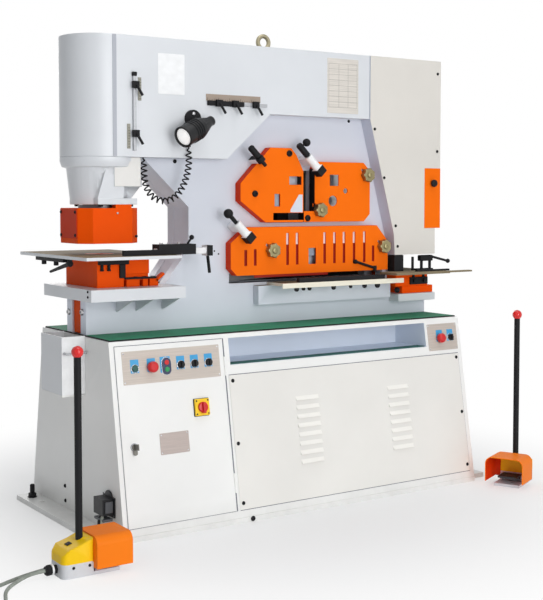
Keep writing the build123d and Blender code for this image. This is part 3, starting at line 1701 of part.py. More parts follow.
save("base_plate", base_plate())
save("cabinet", cabinet())
save("deck_mat", *deck_mat())
save("louvre_panel", louvre_panel())
save("door", door())
save("green_button", push_button(green_button_x, control_row_height, button_radius, door_face))
save("red_button", mushroom_button(red_button_x, control_row_height, door_face))
save(
    "stop_button",
    push_button(twin_button_x, control_row_height + twin_button_half_gap, twin_button_radius, door_face),
)
save(
    "start_button",
    push_button(twin_button_x, control_row_height - twin_button_half_gap, twin_button_radius, door_face),
)
for number, place in enumerate(selector_places, start=1):
    save(f"selector_{number}", selector(place, control_row_height, door_face))
save("main_switch", main_switch())
save("door_key", door_key())
save("notch_red_button", mushroom_button(notch_button_x, notch_control_height, 0))
save("notch_selector", selector(notch_selector_x, notch_control_height, 0))
save("side_plate_front", side_plate_front())
save("side_plate_rear", side_plate_rear())
save("frame_spacers", *frame_spacers())
save("shear_beam", shear_beam())
save("fixed_blades", *fixed_blades())
save("moving_blades", *moving_blades())
save("shear_cylinder", shear_cylinder())
save("cylinder_rod", cylinder_rod())
save("upper_cover", upper_cover())
save("right_cover", right_cover())
save("lifting_eye", lifting_eye())
save("punch_housing", punch_housing())
save("punch_cylinder", punch_cylinder())
save("neck_casting", neck_casting())
save("punch_ram", *punch_ram())
save("stripper", stripper())
save("work_tray", work_tray())
save("die_block", *die_block())
save("punch_table", punch_table())
save("punch_fence", punch_fence())
save("corner_guard", corner_guard())
save("bar_guard", bar_guard())
save("flat_guard", flat_guard())
save("guard_fittings", *guard_fittings())
for name, spec in holddowns.items():
    save(name, holddown_screw(spec))
save("flat_table", flat_table())
save("notch_table", notch_table())
save("notch_die", *notch_die())
save("stroke_stops", *stroke_stops())
save("lamp_arm", lamp_arm())
save("lamp_head", lamp_head())
save("slug_drawer", slug_drawer())
save("hydraulic_tank", *hydraulic_tank())
save("pump_motor", *pump_motor())
save("electric_panel", electric_panel())
save("cable_socket", cable_socket())
save("pedal_bases", at_left_pedal * pedal_base(), at_right_pedal * pedal_base())
save("pedal_hoods", at_left_pedal * pedal_hood(), at_right_pedal * pedal_hood())
save("treadle_left", at_left_pedal * treadle())
save("treadle_right", at_right_pedal * treadle())
save("pedal_cable", cord_tube("pedal_cable", pedal_cable_route, pedal_cable_radius))
save("lamp_cord", cord_tube("lamp_cord", lamp_cord_route, lamp_cord_radius))
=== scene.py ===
"""Look of a hydraulic ironworker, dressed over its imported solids."""

import json
import math

import bmesh
import bpy
from mathutils import Matrix, Vector


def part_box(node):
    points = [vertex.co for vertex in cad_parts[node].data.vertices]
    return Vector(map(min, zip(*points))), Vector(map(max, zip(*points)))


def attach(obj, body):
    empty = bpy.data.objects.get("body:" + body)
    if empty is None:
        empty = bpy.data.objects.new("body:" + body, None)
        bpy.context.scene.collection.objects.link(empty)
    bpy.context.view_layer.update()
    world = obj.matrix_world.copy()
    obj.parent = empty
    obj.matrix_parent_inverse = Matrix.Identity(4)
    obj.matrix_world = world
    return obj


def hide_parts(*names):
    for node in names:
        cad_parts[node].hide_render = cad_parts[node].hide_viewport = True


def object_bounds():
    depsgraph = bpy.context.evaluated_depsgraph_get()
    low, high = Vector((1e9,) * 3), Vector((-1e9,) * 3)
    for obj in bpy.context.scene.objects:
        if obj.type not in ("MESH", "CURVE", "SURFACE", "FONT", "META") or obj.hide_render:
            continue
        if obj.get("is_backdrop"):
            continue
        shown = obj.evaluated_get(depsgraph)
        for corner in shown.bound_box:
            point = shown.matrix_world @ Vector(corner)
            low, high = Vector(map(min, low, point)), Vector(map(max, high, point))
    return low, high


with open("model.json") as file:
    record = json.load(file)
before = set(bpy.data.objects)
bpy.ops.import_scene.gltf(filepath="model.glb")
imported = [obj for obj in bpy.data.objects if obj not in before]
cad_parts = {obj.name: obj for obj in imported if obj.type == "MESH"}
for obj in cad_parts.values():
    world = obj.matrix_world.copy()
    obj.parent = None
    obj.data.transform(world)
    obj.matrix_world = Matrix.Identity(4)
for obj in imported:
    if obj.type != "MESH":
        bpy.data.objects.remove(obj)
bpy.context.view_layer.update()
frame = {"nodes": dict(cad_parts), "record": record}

# Camera: a long lens at chest height, off the machine's left front corner,
# as a catalogue photographer would stand.
scene = bpy.context.scene
camera_data = bpy.data.cameras.new("camera")
camera_data.sensor_width = 36
camera_data.lens = 69.69
camera_data.shift_y = -0.062
camera = bpy.data.objects.new("camera", camera_data)
camera.location = (-2.632, -4.035, 1.207)
camera.rotation_euler = (math.radians(86.89), 0, math.radians(-33.72))
scene.collection.objects.link(camera)
scene.camera = camera

# Studio: a pale floor that runs out to a white background, one large soft key from
# the front with a low one under it, and a weak fill from the left, so that the left end
# falls into shade.
scene.view_settings.view_transform = "Standard"


def shader_node(tree, kind, values=None, feeds=None, **settings):
    """New shader node with its settings, its fixed inputs and the outputs that feed the rest."""
    node = tree.nodes.new("ShaderNode" + kind)
    for name, setting in settings.items():
        setattr(node, name, setting)
    for key, value in (values or {}).items():
        node.inputs[key].default_value = value
    for key, source in (feeds or {}).items():
        tree.links.new(source, node.inputs[key])
    return node


def seen_ray(tree):
    """Share that is one for what is seen straight, in a reflection or through glass."""
    path = shader_node(tree, "LightPath").outputs
    share = path["Is Camera Ray"]
    for kind in ("Is Glossy Ray", "Is Transmission Ray"):
        share = shader_node(tree, "Math", feeds={0: share, 1: path[kind]}, operation="MAXIMUM").outputs[0]
    return share


floor_reach = 40.0
floor_shape = bmesh.new()
bmesh.ops.create_grid(floor_shape, x_segments=1, y_segments=1, size=floor_reach)
floor_mesh = bpy.data.meshes.new("floor")
floor_shape.to_mesh(floor_mesh)
floor_shape.free()
floor = bpy.data.objects.new("floor", floor_mesh)
scene.collection.objects.link(floor)
floor_paint = bpy.data.materials.new("studio_floor")
floor_paint.use_nodes = True
floor_mesh.materials.append(floor_paint)
tree = floor_paint.node_tree
floor_shader = tree.nodes["Principled BSDF"]
floor_shader.inputs["Base Color"].default_value = (0.96, 0.96, 0.963, 1)
floor_shader.inputs["Roughness"].default_value = 0.9
spot = shader_node(tree, "TexCoord").outputs["Object"]
distance = shader_node(tree, "VectorMath", feeds={0: spot}, operation="LENGTH").outputs["Value"]
limits = {"From Min": 0.3, "From Max": 1.9}
fade = shader_node(tree, "MapRange", limits, {"Value": distance}, interpolation_type="SMOOTHSTEP")
sources = {0: fade.outputs["Result"], 1: seen_ray(tree)}
white_share = shader_node(tree, "Math", feeds=sources, operation="MULTIPLY").outputs[0]
white = shader_node(tree, "Emission").outputs[0]
floor_mix = shader_node(tree, "MixShader", feeds={0: white_share, 1: floor_shader.outputs[0], 2: white})
tree.links.new(floor_mix.outputs[0], tree.nodes["Material Output"].inputs["Surface"])
floor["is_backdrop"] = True

world = bpy.data.worlds.new("studio")
scene.world = world
world.use_nodes = True
sky = world.node_tree
sky.nodes.clear()
sky_seen = shader_node(sky, "Background", {"Color": (1, 1, 1, 1)}).outputs[0]
sky_light = shader_node(sky, "Background", {"Color": (0.94, 0.97, 1.0, 1), "Strength": 0.30}).outputs[0]
sky_mix = shader_node(sky, "MixShader", feeds={0: seen_ray(sky), 1: sky_light, 2: sky_seen})
shader_node(sky, "OutputWorld", feeds={"Surface": sky_mix.outputs[0]})


def soft_lamp(name, place, target, size, power):
    """Large square softbox, aimed at a point."""
    data = bpy.data.lights.new(name, "AREA")
    data.size = size
    data.energy = power
    lamp = bpy.data.objects.new(name, data)
    lamp.location = place
    lamp.rotation_euler = (Vector(target) - Vector(place)).to_track_quat("-Z", "Y").to_euler()
    scene.collection.objects.link(lamp)


soft_lamp("key", (-0.2, -6.0, 1.8), (0, 0, 0.9), 3.2, 138)
soft_lamp("fill", (-5.0, -2.4, 3.4), (-0.4, 0, 0.9), 3.0, 4)
soft_lamp("low", (-0.9, -4.6, 0.5), (-0.4, 0, 0.8), 2.0, 20)
soft_lamp("top", (0.0, -1.5, 5.2), (0, 0, 0.9), 3.0, 66)
soft_lamp("back", (1.5, 5.0, 3.2), (0, 0, 0.9), 3.0, 70)


# Pedal cable: a rubber-sheathed control cable from the left pedal's gland. It lies
# on the floor in one loose loop and comes back to the plug on the cabinet's end.
def metres(points):
    """The part's own points are written in millimetres."""
    return [Vector(point) / 1000 for point in points]


def route_curve(name, route, smoothness):
    """Smooth line along a route: a spline with the route's points as its control points."""
    curve = bpy.data.curves.new(name, "CURVE")
    curve.dimensions = "3D"
    spline = curve.splines.new("NURBS")
    spline.points.add(len(route) - 1)
    for point, place in zip(spline.points, route):
        point.co = (*place, 1)
    spline.order_u = 3
    spline.use_endpoint_u = True
    spline.resolution_u = smoothness
    return curve


def tube(name, route, radius, smoothness, roundness, material, node):
    """Round cord along a route, which stands for the cord's plain solid."""
    curve = route_curve(name, route, smoothness)
    curve.bevel_depth = radius
    curve.bevel_resolution = roundness
    curve.use_fill_caps = True
    curve.materials.append(material)
    piece = bpy.data.objects.new(name, curve)
    scene.collection.objects.link(piece)
    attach(piece, "machine")
    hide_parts(node)
    return piece


def node_material(name, roughness, metallic=0.0, gloss=0.5):
    """A new material: its nodes, its shader and the piece's own coordinates."""
    material = bpy.data.materials.new(name)
    material.use_nodes = True
    tree = material.node_tree
    shader = tree.nodes["Principled BSDF"]
    shader.inputs["Roughness"].default_value = roughness
    shader.inputs["Metallic"].default_value = metallic
    shader.inputs["Specular IOR Level"].default_value = gloss
    return material, tree, shader, shader_node(tree, "TexCoord").outputs["Object"]


def noise_on(tree, place, scale, detail):
    """Noise over the piece's own coordinates, with so many clouds to the metre."""
    return shader_node(tree, "TexNoise", {"Scale": scale, "Detail": detail}, {"Vector": place}).outputs["Fac"]


def tone(*channels):
    """Colour as a printer would name it, turned into light."""
    return tuple(((c / 255 + 0.055) / 1.055) ** 2.4 if c > 10 else c / 255 / 12.92 for c in channels)


def dressed(tree, shader, colour, tint, shares, wear, dullness, relief, strength, depth):
    """Varies a shader's colour by one pattern, its roughness by a second, its relief by a third."""
    ramp = shader_node(tree, "ValToRGB", feeds={"Fac": tint})
    for index, position in enumerate((0.3, 0.7)):
        ramp.color_ramp.elements[index].position = position
        shade = [min(1.0, channel * shares[index]) for channel in colour]
        ramp.color_ramp.elements[index].color = (*shade, 1)
    dull = shader_node(tree, "MapRange", {"To Min": dullness[0], "To Max": dullness[1]}, {"Value": wear})
    bump = shader_node(tree, "Bump", {"Strength": strength, "Distance": depth}, {"Height": relief})
    tree.links.new(ramp.outputs["Color"], shader.inputs["Base Color"])
    tree.links.new(dull.outputs["Result"], shader.inputs["Roughness"])
    tree.links.new(bump.outputs["Normal"], shader.inputs["Normal"])
    return ramp.outputs["Color"]


def rubber(name, colour):
    """Moulded rubber or soft plastic: dull, with dust in its surface."""
    material, tree, shader, place = node_material(name, 0.62, gloss=0.22)
    dust = noise_on(tree, place, 60, 4)
    skin = noise_on(tree, place, 900, 2)
    dressed(tree, shader, colour, dust, (0.8, 1.3), dust, (0.5, 0.75), skin, 0.25, 0.0004)
    return material


cable_radius = 0.006
cable_route = metres(
    [
        (-1208, -600, 24), (-1250, -600, 24), (-1295, -608, 14), (-1336, -630, 6.5), (-1368, -672, 6),
        (-1392, -738, 6), (-1418, -815, 6), (-1466, -876, 6), (-1540, -886, 6), (-1592, -834, 6),
        (-1584, -758, 6), (-1524, -700, 6), (-1444, -652, 6), (-1366, -606, 6), (-1286, -566, 6),
        (-1204, -538, 6), (-1118, -522, 6), (-1034, -500, 6), (-996, -460, 6), (-962, -424, 17),
        (-928, -388, 34), (-896, -352, 44), (-880, -328, 62), (-872, -314, 82),
    ]
)
cable_sheath = rubber("cable_sheath", tone(146, 152, 144))
cable = tube("pedal_cable_sheath", cable_route, cable_radius, 8, 5, cable_sheath, "pedal_cable")

# Lamp cord: a black curly cord that hangs in a U from the lamp's bracket to a hole in
# the underside of the upper cover. Its helix follows the smooth line of the route.
curl_radius = 0.0108
curl_wire = 0.0029
curl_pitch = 0.0195
curl_points = 14
lead_share = 0.06
lamp_route = metres(
    [
        (-424, -156, 1408), (-421, -157, 1358), (-429, -156, 1305), (-447, -154, 1256), (-474, -151, 1220),
        (-507, -147, 1202), (-540, -142, 1202), (-570, -135, 1217), (-587, -126, 1245), (-594, -117, 1285),
        (-591, -110, 1328), (-594, -109, 1365.7),
    ]
)
guide = bpy.data.objects.new("lamp_cord_line", route_curve("lamp_cord_line", lamp_route, 24))
scene.collection.objects.link(guide)
bpy.context.view_layer.update()
guide_mesh = bpy.data.meshes.new_from_object(guide.evaluated_get(bpy.context.evaluated_depsgraph_get()))
line = [vertex.co.copy() for vertex in guide_mesh.vertices]
bpy.data.objects.remove(guide)
bpy.data.meshes.remove(guide_mesh)
reach = [0.0]
for before, after in zip(line, line[1:]):
    reach.append(reach[-1] + (after - before).length)
cord_length = reach[-1]


def on_line(distance):
    """Place on the cord's line, and its direction there."""
    index = 1
    while index < len(reach) - 1 and reach[index] < distance:
        index += 1
    run = line[index] - line[index - 1]
    share = (distance - reach[index - 1]) / (reach[index] - reach[index - 1])
    return line[index - 1] + run * share, run.normalized()


steps = int(cord_length / curl_pitch) * curl_points
curl_route = []
across = Vector((1, 0, 0))
for step in range(steps + 1):
    share = step / steps
    place, forward = on_line(share * cord_length)
    across = (across - forward * across.dot(forward)).normalized()
    lead = min(1.0, share / lead_share, (1 - share) / lead_share)
    angle = math.tau * step / curl_points
    swing = across * math.cos(angle) + forward.cross(across) * math.sin(angle)
    curl_route.append(place + swing * (curl_radius * lead))
black_cord = rubber("black_cord", tone(26, 26, 28))
curl = tube("lamp_curly_cord", curl_route, curl_wire, 2, 2, black_cord, "lamp_cord")


# Base plate and cabinet: folded and welded sheet on a thick floor plate, in one
# grey-white paint, with rolled edges that catch the light and floor dust along the foot.
# The tool shelf's walls take a cool blue-white tint instead, painted shade for the
# inside of the shelf.
def sprayed_paint(name, colour, roughness, dusty=0.0, gloss=0.5):
    """Workshop paint: slightly cloudy, with an orange-peel skin, a little grime and dust low down."""
    material, tree, shader, place = node_material(name, roughness, gloss=gloss)
    shader.inputs["Coat Weight"].default_value = 0.3 * gloss
    shader.inputs["Coat Roughness"].default_value = 0.25
    cloud = noise_on(tree, place, 2.2, 5)
    grime = noise_on(tree, place, 14, 6)
    skin = noise_on(tree, place, 420, 2)
    dullness = (roughness - 0.1, roughness + 0.12)
    base = dressed(tree, shader, colour, cloud, (0.94, 1.03), grime, dullness, skin, 0.10, 0.0003)
    if dusty:
        height = shader_node(tree, "SeparateXYZ", feeds={0: place}).outputs["Z"]
        fall = {"From Min": dusty, "From Max": 0.0, "To Max": 0.35}
        low_down = shader_node(tree, "MapRange", fall, {"Value": height}).outputs["Result"]
        patches = {0: low_down, 1: noise_on(tree, place, 22, 6)}
        dust = shader_node(tree, "Math", feeds=patches, operation="MULTIPLY").outputs[0]
        floor_dust = (*tone(150, 146, 138), 1)
        mix = shader_node(tree, "Mix", {7: floor_dust}, {0: dust, 6: base}, data_type="RGBA")
        tree.links.new(mix.outputs[2], shader.inputs["Base Color"])
    return material


def bevelled(shape, edges, width, segments=2):
    """Rounds some of a shape's edges."""
    bmesh.ops.bevel(
        shape, geom=edges, offset=width, offset_type="OFFSET", segments=segments, profile=0.5,
        affect="EDGES", clamp_overlap=True, material=-1,
    )


def finished(name, shape, materials, body, crease):
    """Makes a shape into a piece of the machine: shaded, painted and riding on its body."""
    mesh = bpy.data.meshes.new(name)
    shape.to_mesh(mesh)
    shape.free()
    mesh.polygons.foreach_set("use_smooth", [True] * len(mesh.polygons))
    mesh.set_sharp_from_angle(angle=math.radians(crease))
    for material in materials:
        mesh.materials.append(material)
    piece = bpy.data.objects.new(name, mesh)
    scene.collection.objects.link(piece)
    piece.modifiers.new("even_shading", "WEIGHTED_NORMAL").keep_sharp = True
    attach(piece, body)
    return piece


node_bodies = {node: body for body, nodes in frame["record"]["behaviour"]["bodies"].items() for node in nodes}


def sharp_edges(shape):
    """Edges whose two faces meet at a clear angle."""
    return [edge for edge in shape.edges if edge.is_manifold and edge.calc_face_angle() > math.radians(35)]


def softened(node, width, materials, choose=None, crease=50, reshape=None, cut=None, rounded=()):
    """A welded copy of a solid with its sharp edges broken, which then stands for the solid."""
    shape = bmesh.new()
    shape.from_mesh(frame["nodes"][node].data)
    bmesh.ops.remove_doubles(shape, verts=shape.verts, dist=0.00002)
    bmesh.ops.dissolve_limit(
        shape, angle_limit=math.radians(1), use_dissolve_boundaries=False,
        verts=shape.verts, edges=shape.edges,
    )
    if reshape:
        for vertex in shape.verts:
            vertex.co.x = reshape(vertex.co)
    if cut:
        whole = shape.verts[:] + shape.edges[:] + shape.faces[:]
        bmesh.ops.bisect_plane(shape, geom=whole, plane_co=cut, plane_no=(0, 0, 1))
    if choose:
        for face in shape.faces:
            face.material_index = int(choose(face.calc_center_median(), face.normal))
    for radius, test in rounded:
        chosen = [edge for edge in sharp_edges(shape) if test((edge.verts[0].co + edge.verts[1].co) / 2)]
        bevelled(shape, chosen, radius, 5)
    bevelled(shape, [edge for edge in sharp_edges(shape) if edge.is_convex], width)
    piece = finished(node + "_finish", shape, materials, node_bodies[node], crease)
    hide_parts(node)


def plain(node, material):
    """A solid whose own shape is kept, with a finish on it."""
    mesh = frame["nodes"][node].data
    mesh.materials.clear()
    mesh.materials.append(material)


body_paint = sprayed_paint("body_paint", tone(219, 222, 226), 0.38)
cabinet_paint = sprayed_paint("cabinet_paint", tone(240, 240, 238), 0.42, dusty=0.10)
# The shelf's blue-white tint is painted shade: it stands for the shade inside the recess.
shelf_shade_tint = sprayed_paint("shelf_shade_tint", tone(226, 234, 246), 0.45)
shelf_low = Vector((-0.342, -0.318, 0.578))
shelf_high = Vector((0.644, -0.105, 0.690))


def in_shelf(centre, normal):
    """True on the walls of the tool shelf."""
    return all(low < at < high for low, at, high in zip(shelf_low, centre, shelf_high))


softened("base_plate", 0.002, [cabinet_paint])
softened("cabinet", 0.003, [cabinet_paint, shelf_shade_tint], in_shelf)


# Levelling bolts and small screws of the base: black hexagon bolts through the end
# flanges, with a nut and washer each, and button-head screws in the end wall.
def placed(shape, at):
    """Moves a shape into place."""
    bmesh.ops.transform(shape, matrix=at, verts=shape.verts)
    return shape


def slab(low, high, edge=0.0008, at=Matrix()):
    """Block between two corners, with its edges broken."""
    low, high = Vector(low), Vector(high)
    shape = bmesh.new()
    stretch = Matrix.Diagonal((*(high - low), 1))
    bmesh.ops.create_cube(shape, size=1, matrix=Matrix.Translation((low + high) / 2) @ stretch)
    bevelled(shape, shape.edges[:], edge)
    return placed(shape, at)


def turned(outline, steps=28, at=Matrix()):
    """Round piece from half its outline, given as radius and height, turned about its axis."""
    shape = bmesh.new()
    corners = [shape.verts.new((radius, 0, height)) for radius, height in outline]
    runs = [shape.edges.new(pair) for pair in zip(corners, corners[1:])]
    bmesh.ops.spin(
        shape, geom=corners + runs, cent=(0, 0, 0), axis=(0, 0, 1), angle=math.tau,
        steps=steps, use_merge=True,
    )
    bmesh.ops.remove_doubles(shape, verts=shape.verts, dist=0.000001)
    bmesh.ops.recalc_face_normals(shape, faces=shape.faces)
    return placed(shape, at)


def along(start, direction):
    """Placement whose own upright lies along a direction."""
    return Matrix.Translation(start) @ Vector(direction).to_track_quat("Z", "Y").to_matrix().to_4x4()


def upward(*start):
    """Placement on a face that looks up."""
    return along(start, (0, 0, 1))


def downward(*start):
    """Placement on a face that looks down."""
    return along(start, (0, 0, -1))


def leftward(*start):
    """Placement on a face that looks left."""
    return along(start, (-1, 0, 0))


def outward(*start):
    """Placement on a face that looks towards the operator."""
    return along(start, (0, -1, 0))


def rod(start, end, radius, edge=0.0008, steps=20):
    """Round bar between two points, with broken ends."""
    start, end = Vector(start), Vector(end)
    length = (end - start).length
    inner = radius - edge
    outline = [(0, 0), (inner, 0), (radius, edge), (radius, length - edge), (inner, length), (0, length)]
    return turned(outline, steps, along(start, end - start))


def ball(centre, radius):
    """Ball knob."""
    angles = [math.pi * part / 14 for part in range(15)]
    outline = [(radius * math.sin(angle), -radius * math.cos(angle)) for angle in angles]
    return turned(outline, 24, Matrix.Translation(centre))


def hexagon(across_flats, height, at):
    """Hexagon head or nut with chamfered edges."""
    shape = bmesh.new()
    corner = across_flats / math.sqrt(3)
    bmesh.ops.create_cone(
        shape, cap_ends=True, segments=6, radius1=corner, radius2=corner, depth=height,
        matrix=Matrix.Translation((0, 0, height / 2)),
    )
    bevelled(shape, shape.edges[:], height * 0.1)
    return placed(shape, at)


def screws(radius, height, places):
    """Domed screw heads with a socket in each, one at each placement."""
    shares = [(0, 0.45), (0.4, 0.45), (0.43, 0.98), (0.62, 0.94), (0.86, 0.68), (1, 0.25), (1, 0), (0, 0)]
    outline = [(radius * out, height * up) for out, up in shares]
    return [turned(outline, 20, at) for at in places]


def assembled(name, slot, *coats, body="machine", crease=50):
    """Joins shapes into one piece. Each coat is a finish with the shapes that have it."""
    whole = bmesh.new()
    for number, (_, shapes) in enumerate(coats):
        for shape in shapes:
            for face in shape.faces:
                face.material_index = number
            mesh = bpy.data.meshes.new(name)
            shape.to_mesh(mesh)
            shape.free()
            whole.from_mesh(mesh)
            bpy.data.meshes.remove(mesh)
    return finished(name, whole, [material for material, _ in coats], body, crease)


black_oxide = rubber("black_oxide", tone(19, 19, 22))
flange_top = 0.020
washer_top = 0.023
nut_top = 0.037
bolt_top = 0.072
end_wall = -0.835
feet = [(x, y) for x in (-0.880, 0.880) for y in (-0.313, 0.313)]
bolts = [rod((x, y, flange_top), (x, y, washer_top), 0.019) for x, y in feet]
bolts += [hexagon(0.028, nut_top - washer_top, upward(x, y, washer_top)) for x, y in feet]
bolts += [rod((x, y, nut_top), (x, y, bolt_top), 0.0095, 0.003) for x, y in feet]
bolts += screws(0.0075, 0.005, [leftward(end_wall, 0.091, 0.105), leftward(end_wall, 0.088, 0.048)])
bolts += screws(0.010, 0.006, [outward(-0.299, -0.4145, 0.011)])
assembled("levelling_bolts", "black_steel", (black_oxide, bolts))


# Door: flat sheet on the sloping front, hinged at its right edge. A rubber seal in the
# joint shows as a thin line all round it, dark as painted shade in the joint: darker along
# the foot and head and lighter up the sides, as shaded and lit copies of one rubber.
front_foot = -0.415
front_head = -0.298
deck_height = 0.700
front_lean = math.atan2(front_head - front_foot, deck_height)


def on_front(x, z, lift=0.0):
    """Placement on the sloping front: across it, up it and out of it."""
    y = front_foot + (front_head - front_foot) * z / deck_height
    turn = Matrix.Rotation(math.radians(90) - front_lean, 4, "X")
    return Matrix.Translation((x, y, z)) @ turn @ Matrix.Translation((0, 0, lift))


def front_grid(across, heights, lift):
    """Placements on the sloping front, at each place across and each height."""
    return [on_front(x, z, lift) for x in across for z in heights]


def front_strip(left, right, low, high, thickness):
    """Thin strip on the sloping front between two limits each way."""
    half_width = (right - left) / 2
    half_rise = (high - low) / 2 / math.cos(front_lean)
    at = on_front((left + right) / 2, (low + high) / 2)
    return slab((-half_width, -half_rise, 0), (half_width, half_rise, thickness), 0.0003, at)


def seal_round(left, right, low, high, width):
    """Strips just outside the left, right, lower and upper edge of a door or panel."""
    thickness = 0.0012
    return [
        front_strip(left - width, left, low - width, high + width, thickness),
        front_strip(right, right + width, low - width, high + width, thickness),
        front_strip(left, right, low - width, low, thickness),
        front_strip(left, right, high, high + width, thickness),
    ]


softened("door", 0.0012, [cabinet_paint])
# Shaded and lit copies of the seal rubber: painted shade in the door's and panel's joints.
shaded_seal_rubber = rubber("shaded_seal_rubber", tone(104, 105, 116))
lit_seal_rubber = rubber("lit_seal_rubber", tone(158, 160, 166))
*sides, foot, head = seal_round(-0.815, -0.368, 0.048, 0.682, 0.0022)
hinge_strip = front_strip(-0.368, -0.3605, 0.046, 0.684, 0.0004)
assembled("door_seal", "cord_grey", (shaded_seal_rubber, [foot, head, hinge_strip]), (lit_seal_rubber, sides))


# Control plate: brushed steel, screwed to the top of the door, with blue legend plates
# behind the bright rings. The legends are left blank.
def brushed_lines(tree, place, grain):
    """Fine lines in a surface: noise that is stretched one way."""
    stretch = shader_node(tree, "Mapping", {"Scale": grain}, {"Vector": place})
    return noise_on(tree, stretch.outputs["Vector"], 1.0, 3)


def brushed_plate(name, colour, roughness, grain, metallic=0.55, gloss=0.5):
    """Sheet metal with fine lines brushed along it and a dull lacquer."""
    material, tree, shader, place = node_material(name, roughness, metallic, gloss)
    lines = brushed_lines(tree, place, grain)
    dullness = (roughness - 0.08, roughness + 0.1)
    dressed(tree, shader, colour, lines, (0.86, 1.08), lines, dullness, lines, 0.08, 0.0002)
    return material


def moulded(name, colour, roughness, gloss=0.5):
    """Hard moulded plastic: nearly even, with a fine skin and a faint bloom."""
    material, tree, shader, place = node_material(name, roughness, gloss=gloss)
    bloom = noise_on(tree, place, 35, 4)
    skin = noise_on(tree, place, 1400, 2)
    dullness = (roughness - 0.06, roughness + 0.1)
    dressed(tree, shader, colour, bloom, (0.95, 1.04), bloom, dullness, skin, 0.06, 0.0002)
    return material


def rounded_plate(width, height, corner, thickness, at, edge=0.0006):
    """Plate with rounded corners, its back on the placement."""
    shape = bmesh.new()
    stretch = Matrix.Diagonal((width, height, thickness, 1))
    bmesh.ops.create_cube(shape, size=1, matrix=Matrix.Translation((0, 0, thickness / 2)) @ stretch)
    upright = [e for e in shape.edges if abs(e.verts[0].co.z - e.verts[1].co.z) > thickness / 2]
    bevelled(shape, upright, corner, 6)
    rim = [e for e in shape.edges if all(vert.co.z > thickness * 0.99 for vert in e.verts)]
    bevelled(shape, rim, edge)
    return placed(shape, at)


def ring(inner, outer, height, at):
    """Bright bezel ring with a rounded top."""
    lip = (outer - inner) * 0.3
    outline = [
        (inner, 0), (outer, 0), (outer, height - lip), (outer - lip, height), (inner + lip, height),
        (inner, height - lip), (inner, 0),
    ]
    return turned(outline, 32, at)


def legend(x, z, lift, width=0.034, height=0.049):
    """Blank legend plate behind a control, which shows above it."""
    return rounded_plate(width, height, 0.002, 0.0004, on_front(x, z, lift), 0.0001)


def bezel(x, z, lift, radius):
    """Bright ring round a control that has no wide head."""
    return ring(radius + 0.0008, radius + 0.0034, 0.0045, on_front(x, z, lift))


panel_steel = brushed_plate("control_plate_steel", tone(196, 186, 177), 0.55, (8, 700, 700), 0.2)
chrome = brushed_plate("bezel_chrome", tone(214, 216, 220), 0.22, (60, 60, 60), 0.95)
legend_blue = moulded("legend_blue", tone(62, 160, 214), 0.35)
plate_lift = 0.0043
plate_sheet = 0.0005
field_lift = plate_lift + plate_sheet
legend_rise = 0.0085
control_row = 0.600
button_x = -0.742
mushroom_x = -0.675
twin_x = -0.614
selectors_x = (-0.554, -0.496, -0.436)
control_sheet = rounded_plate(0.405, 0.1195, 0.003, plate_sheet, on_front(-0.5885, 0.604, plate_lift), 0.0002)
legends = [legend(twin_x - 0.004, control_row + 0.006, field_lift, 0.042, 0.058)]
legends += [legend(x, control_row + legend_rise, field_lift) for x in (button_x, mushroom_x, *selectors_x)]
bright = [bezel(button_x, control_row, field_lift, 0.0125)]
bright += [bezel(x, control_row, field_lift, 0.0135) for x in selectors_x]
bright += screws(0.003, 0.0018, front_grid((-0.784, -0.393), (0.553, 0.655), field_lift))
coats = ((panel_steel, [control_sheet]), (legend_blue, legends), (chrome, bright))
assembled("control_plate", "bare_steel", *coats, body="door_body")

# Push buttons and switches on the door: moulded caps, a twin button in a dark oval body,
# and a red main switch on a yellow box.
switch_black = moulded("switch_black", tone(18, 19, 22), 0.4, 0.3)
red_plastic = moulded("red_plastic", tone(206, 26, 30), 0.30)
green_plastic = moulded("green_plastic", tone(30, 150, 84), 0.32)
teal_plastic = moulded("teal_plastic", tone(18, 78, 70), 0.32)
twin_navy = moulded("twin_navy", tone(44, 52, 84), 0.4)
switch_yellow = moulded("switch_yellow", tone(252, 208, 24), 0.42)
softened("green_button", 0.0012, [teal_plastic])
softened("stop_button", 0.0012, [red_plastic])
softened("start_button", 0.0012, [green_plastic])
for node in ("red_button", "notch_red_button", "main_switch"):
    softened(node, 0.002, [red_plastic], crease=40)
for node in ("selector_1", "selector_2", "selector_3", "notch_selector"):
    softened(node, 0.001, [switch_black])
twin_at = on_front(twin_x, control_row, field_lift)
twin_body = rounded_plate(0.036, 0.062, 0.0175, 0.006, twin_at, 0.0015)
twin_rim = rounded_plate(0.040, 0.066, 0.0195, 0.0025, twin_at, 0.0008)
coats = ((twin_navy, [twin_body]), (chrome, [twin_rim]))
assembled("twin_button_body", "black_plastic", *coats, body="door_body")
switch_x = -0.483
switch_z = 0.440
box_depth = 0.012
box_at = on_front(switch_x, switch_z, plate_lift)
switch_box = rounded_plate(0.060, 0.062, 0.004, box_depth, box_at, 0.0015)
black_parts = [rounded_plate(0.064, 0.066, 0.004, 0.004, box_at)]
black_parts += screws(0.0032, 0.002, front_grid((-0.507, -0.459), (0.416, 0.464), plate_lift + box_depth))
coats = ((switch_yellow, [switch_box]), (switch_black, black_parts))
assembled("main_switch_box", "black_plastic", *coats, body="door_body")
switch_grip = rounded_plate(0.011, 0.034, 0.004, 0.006, on_front(switch_x, switch_z, 0.0305), 0.0018)
disc_outline = [
    (0, 0.0162), (0.0185, 0.0162), (0.0195, 0.0175), (0.0195, 0.0235), (0.0175, 0.0255), (0, 0.0255),
]
switch_disc = turned(disc_outline, 32, on_front(switch_x, switch_z))
grip_coat = (red_plastic, [switch_grip, switch_disc])
assembled("main_switch_grip", "red_plastic", grip_coat, body=node_bodies["main_switch"])

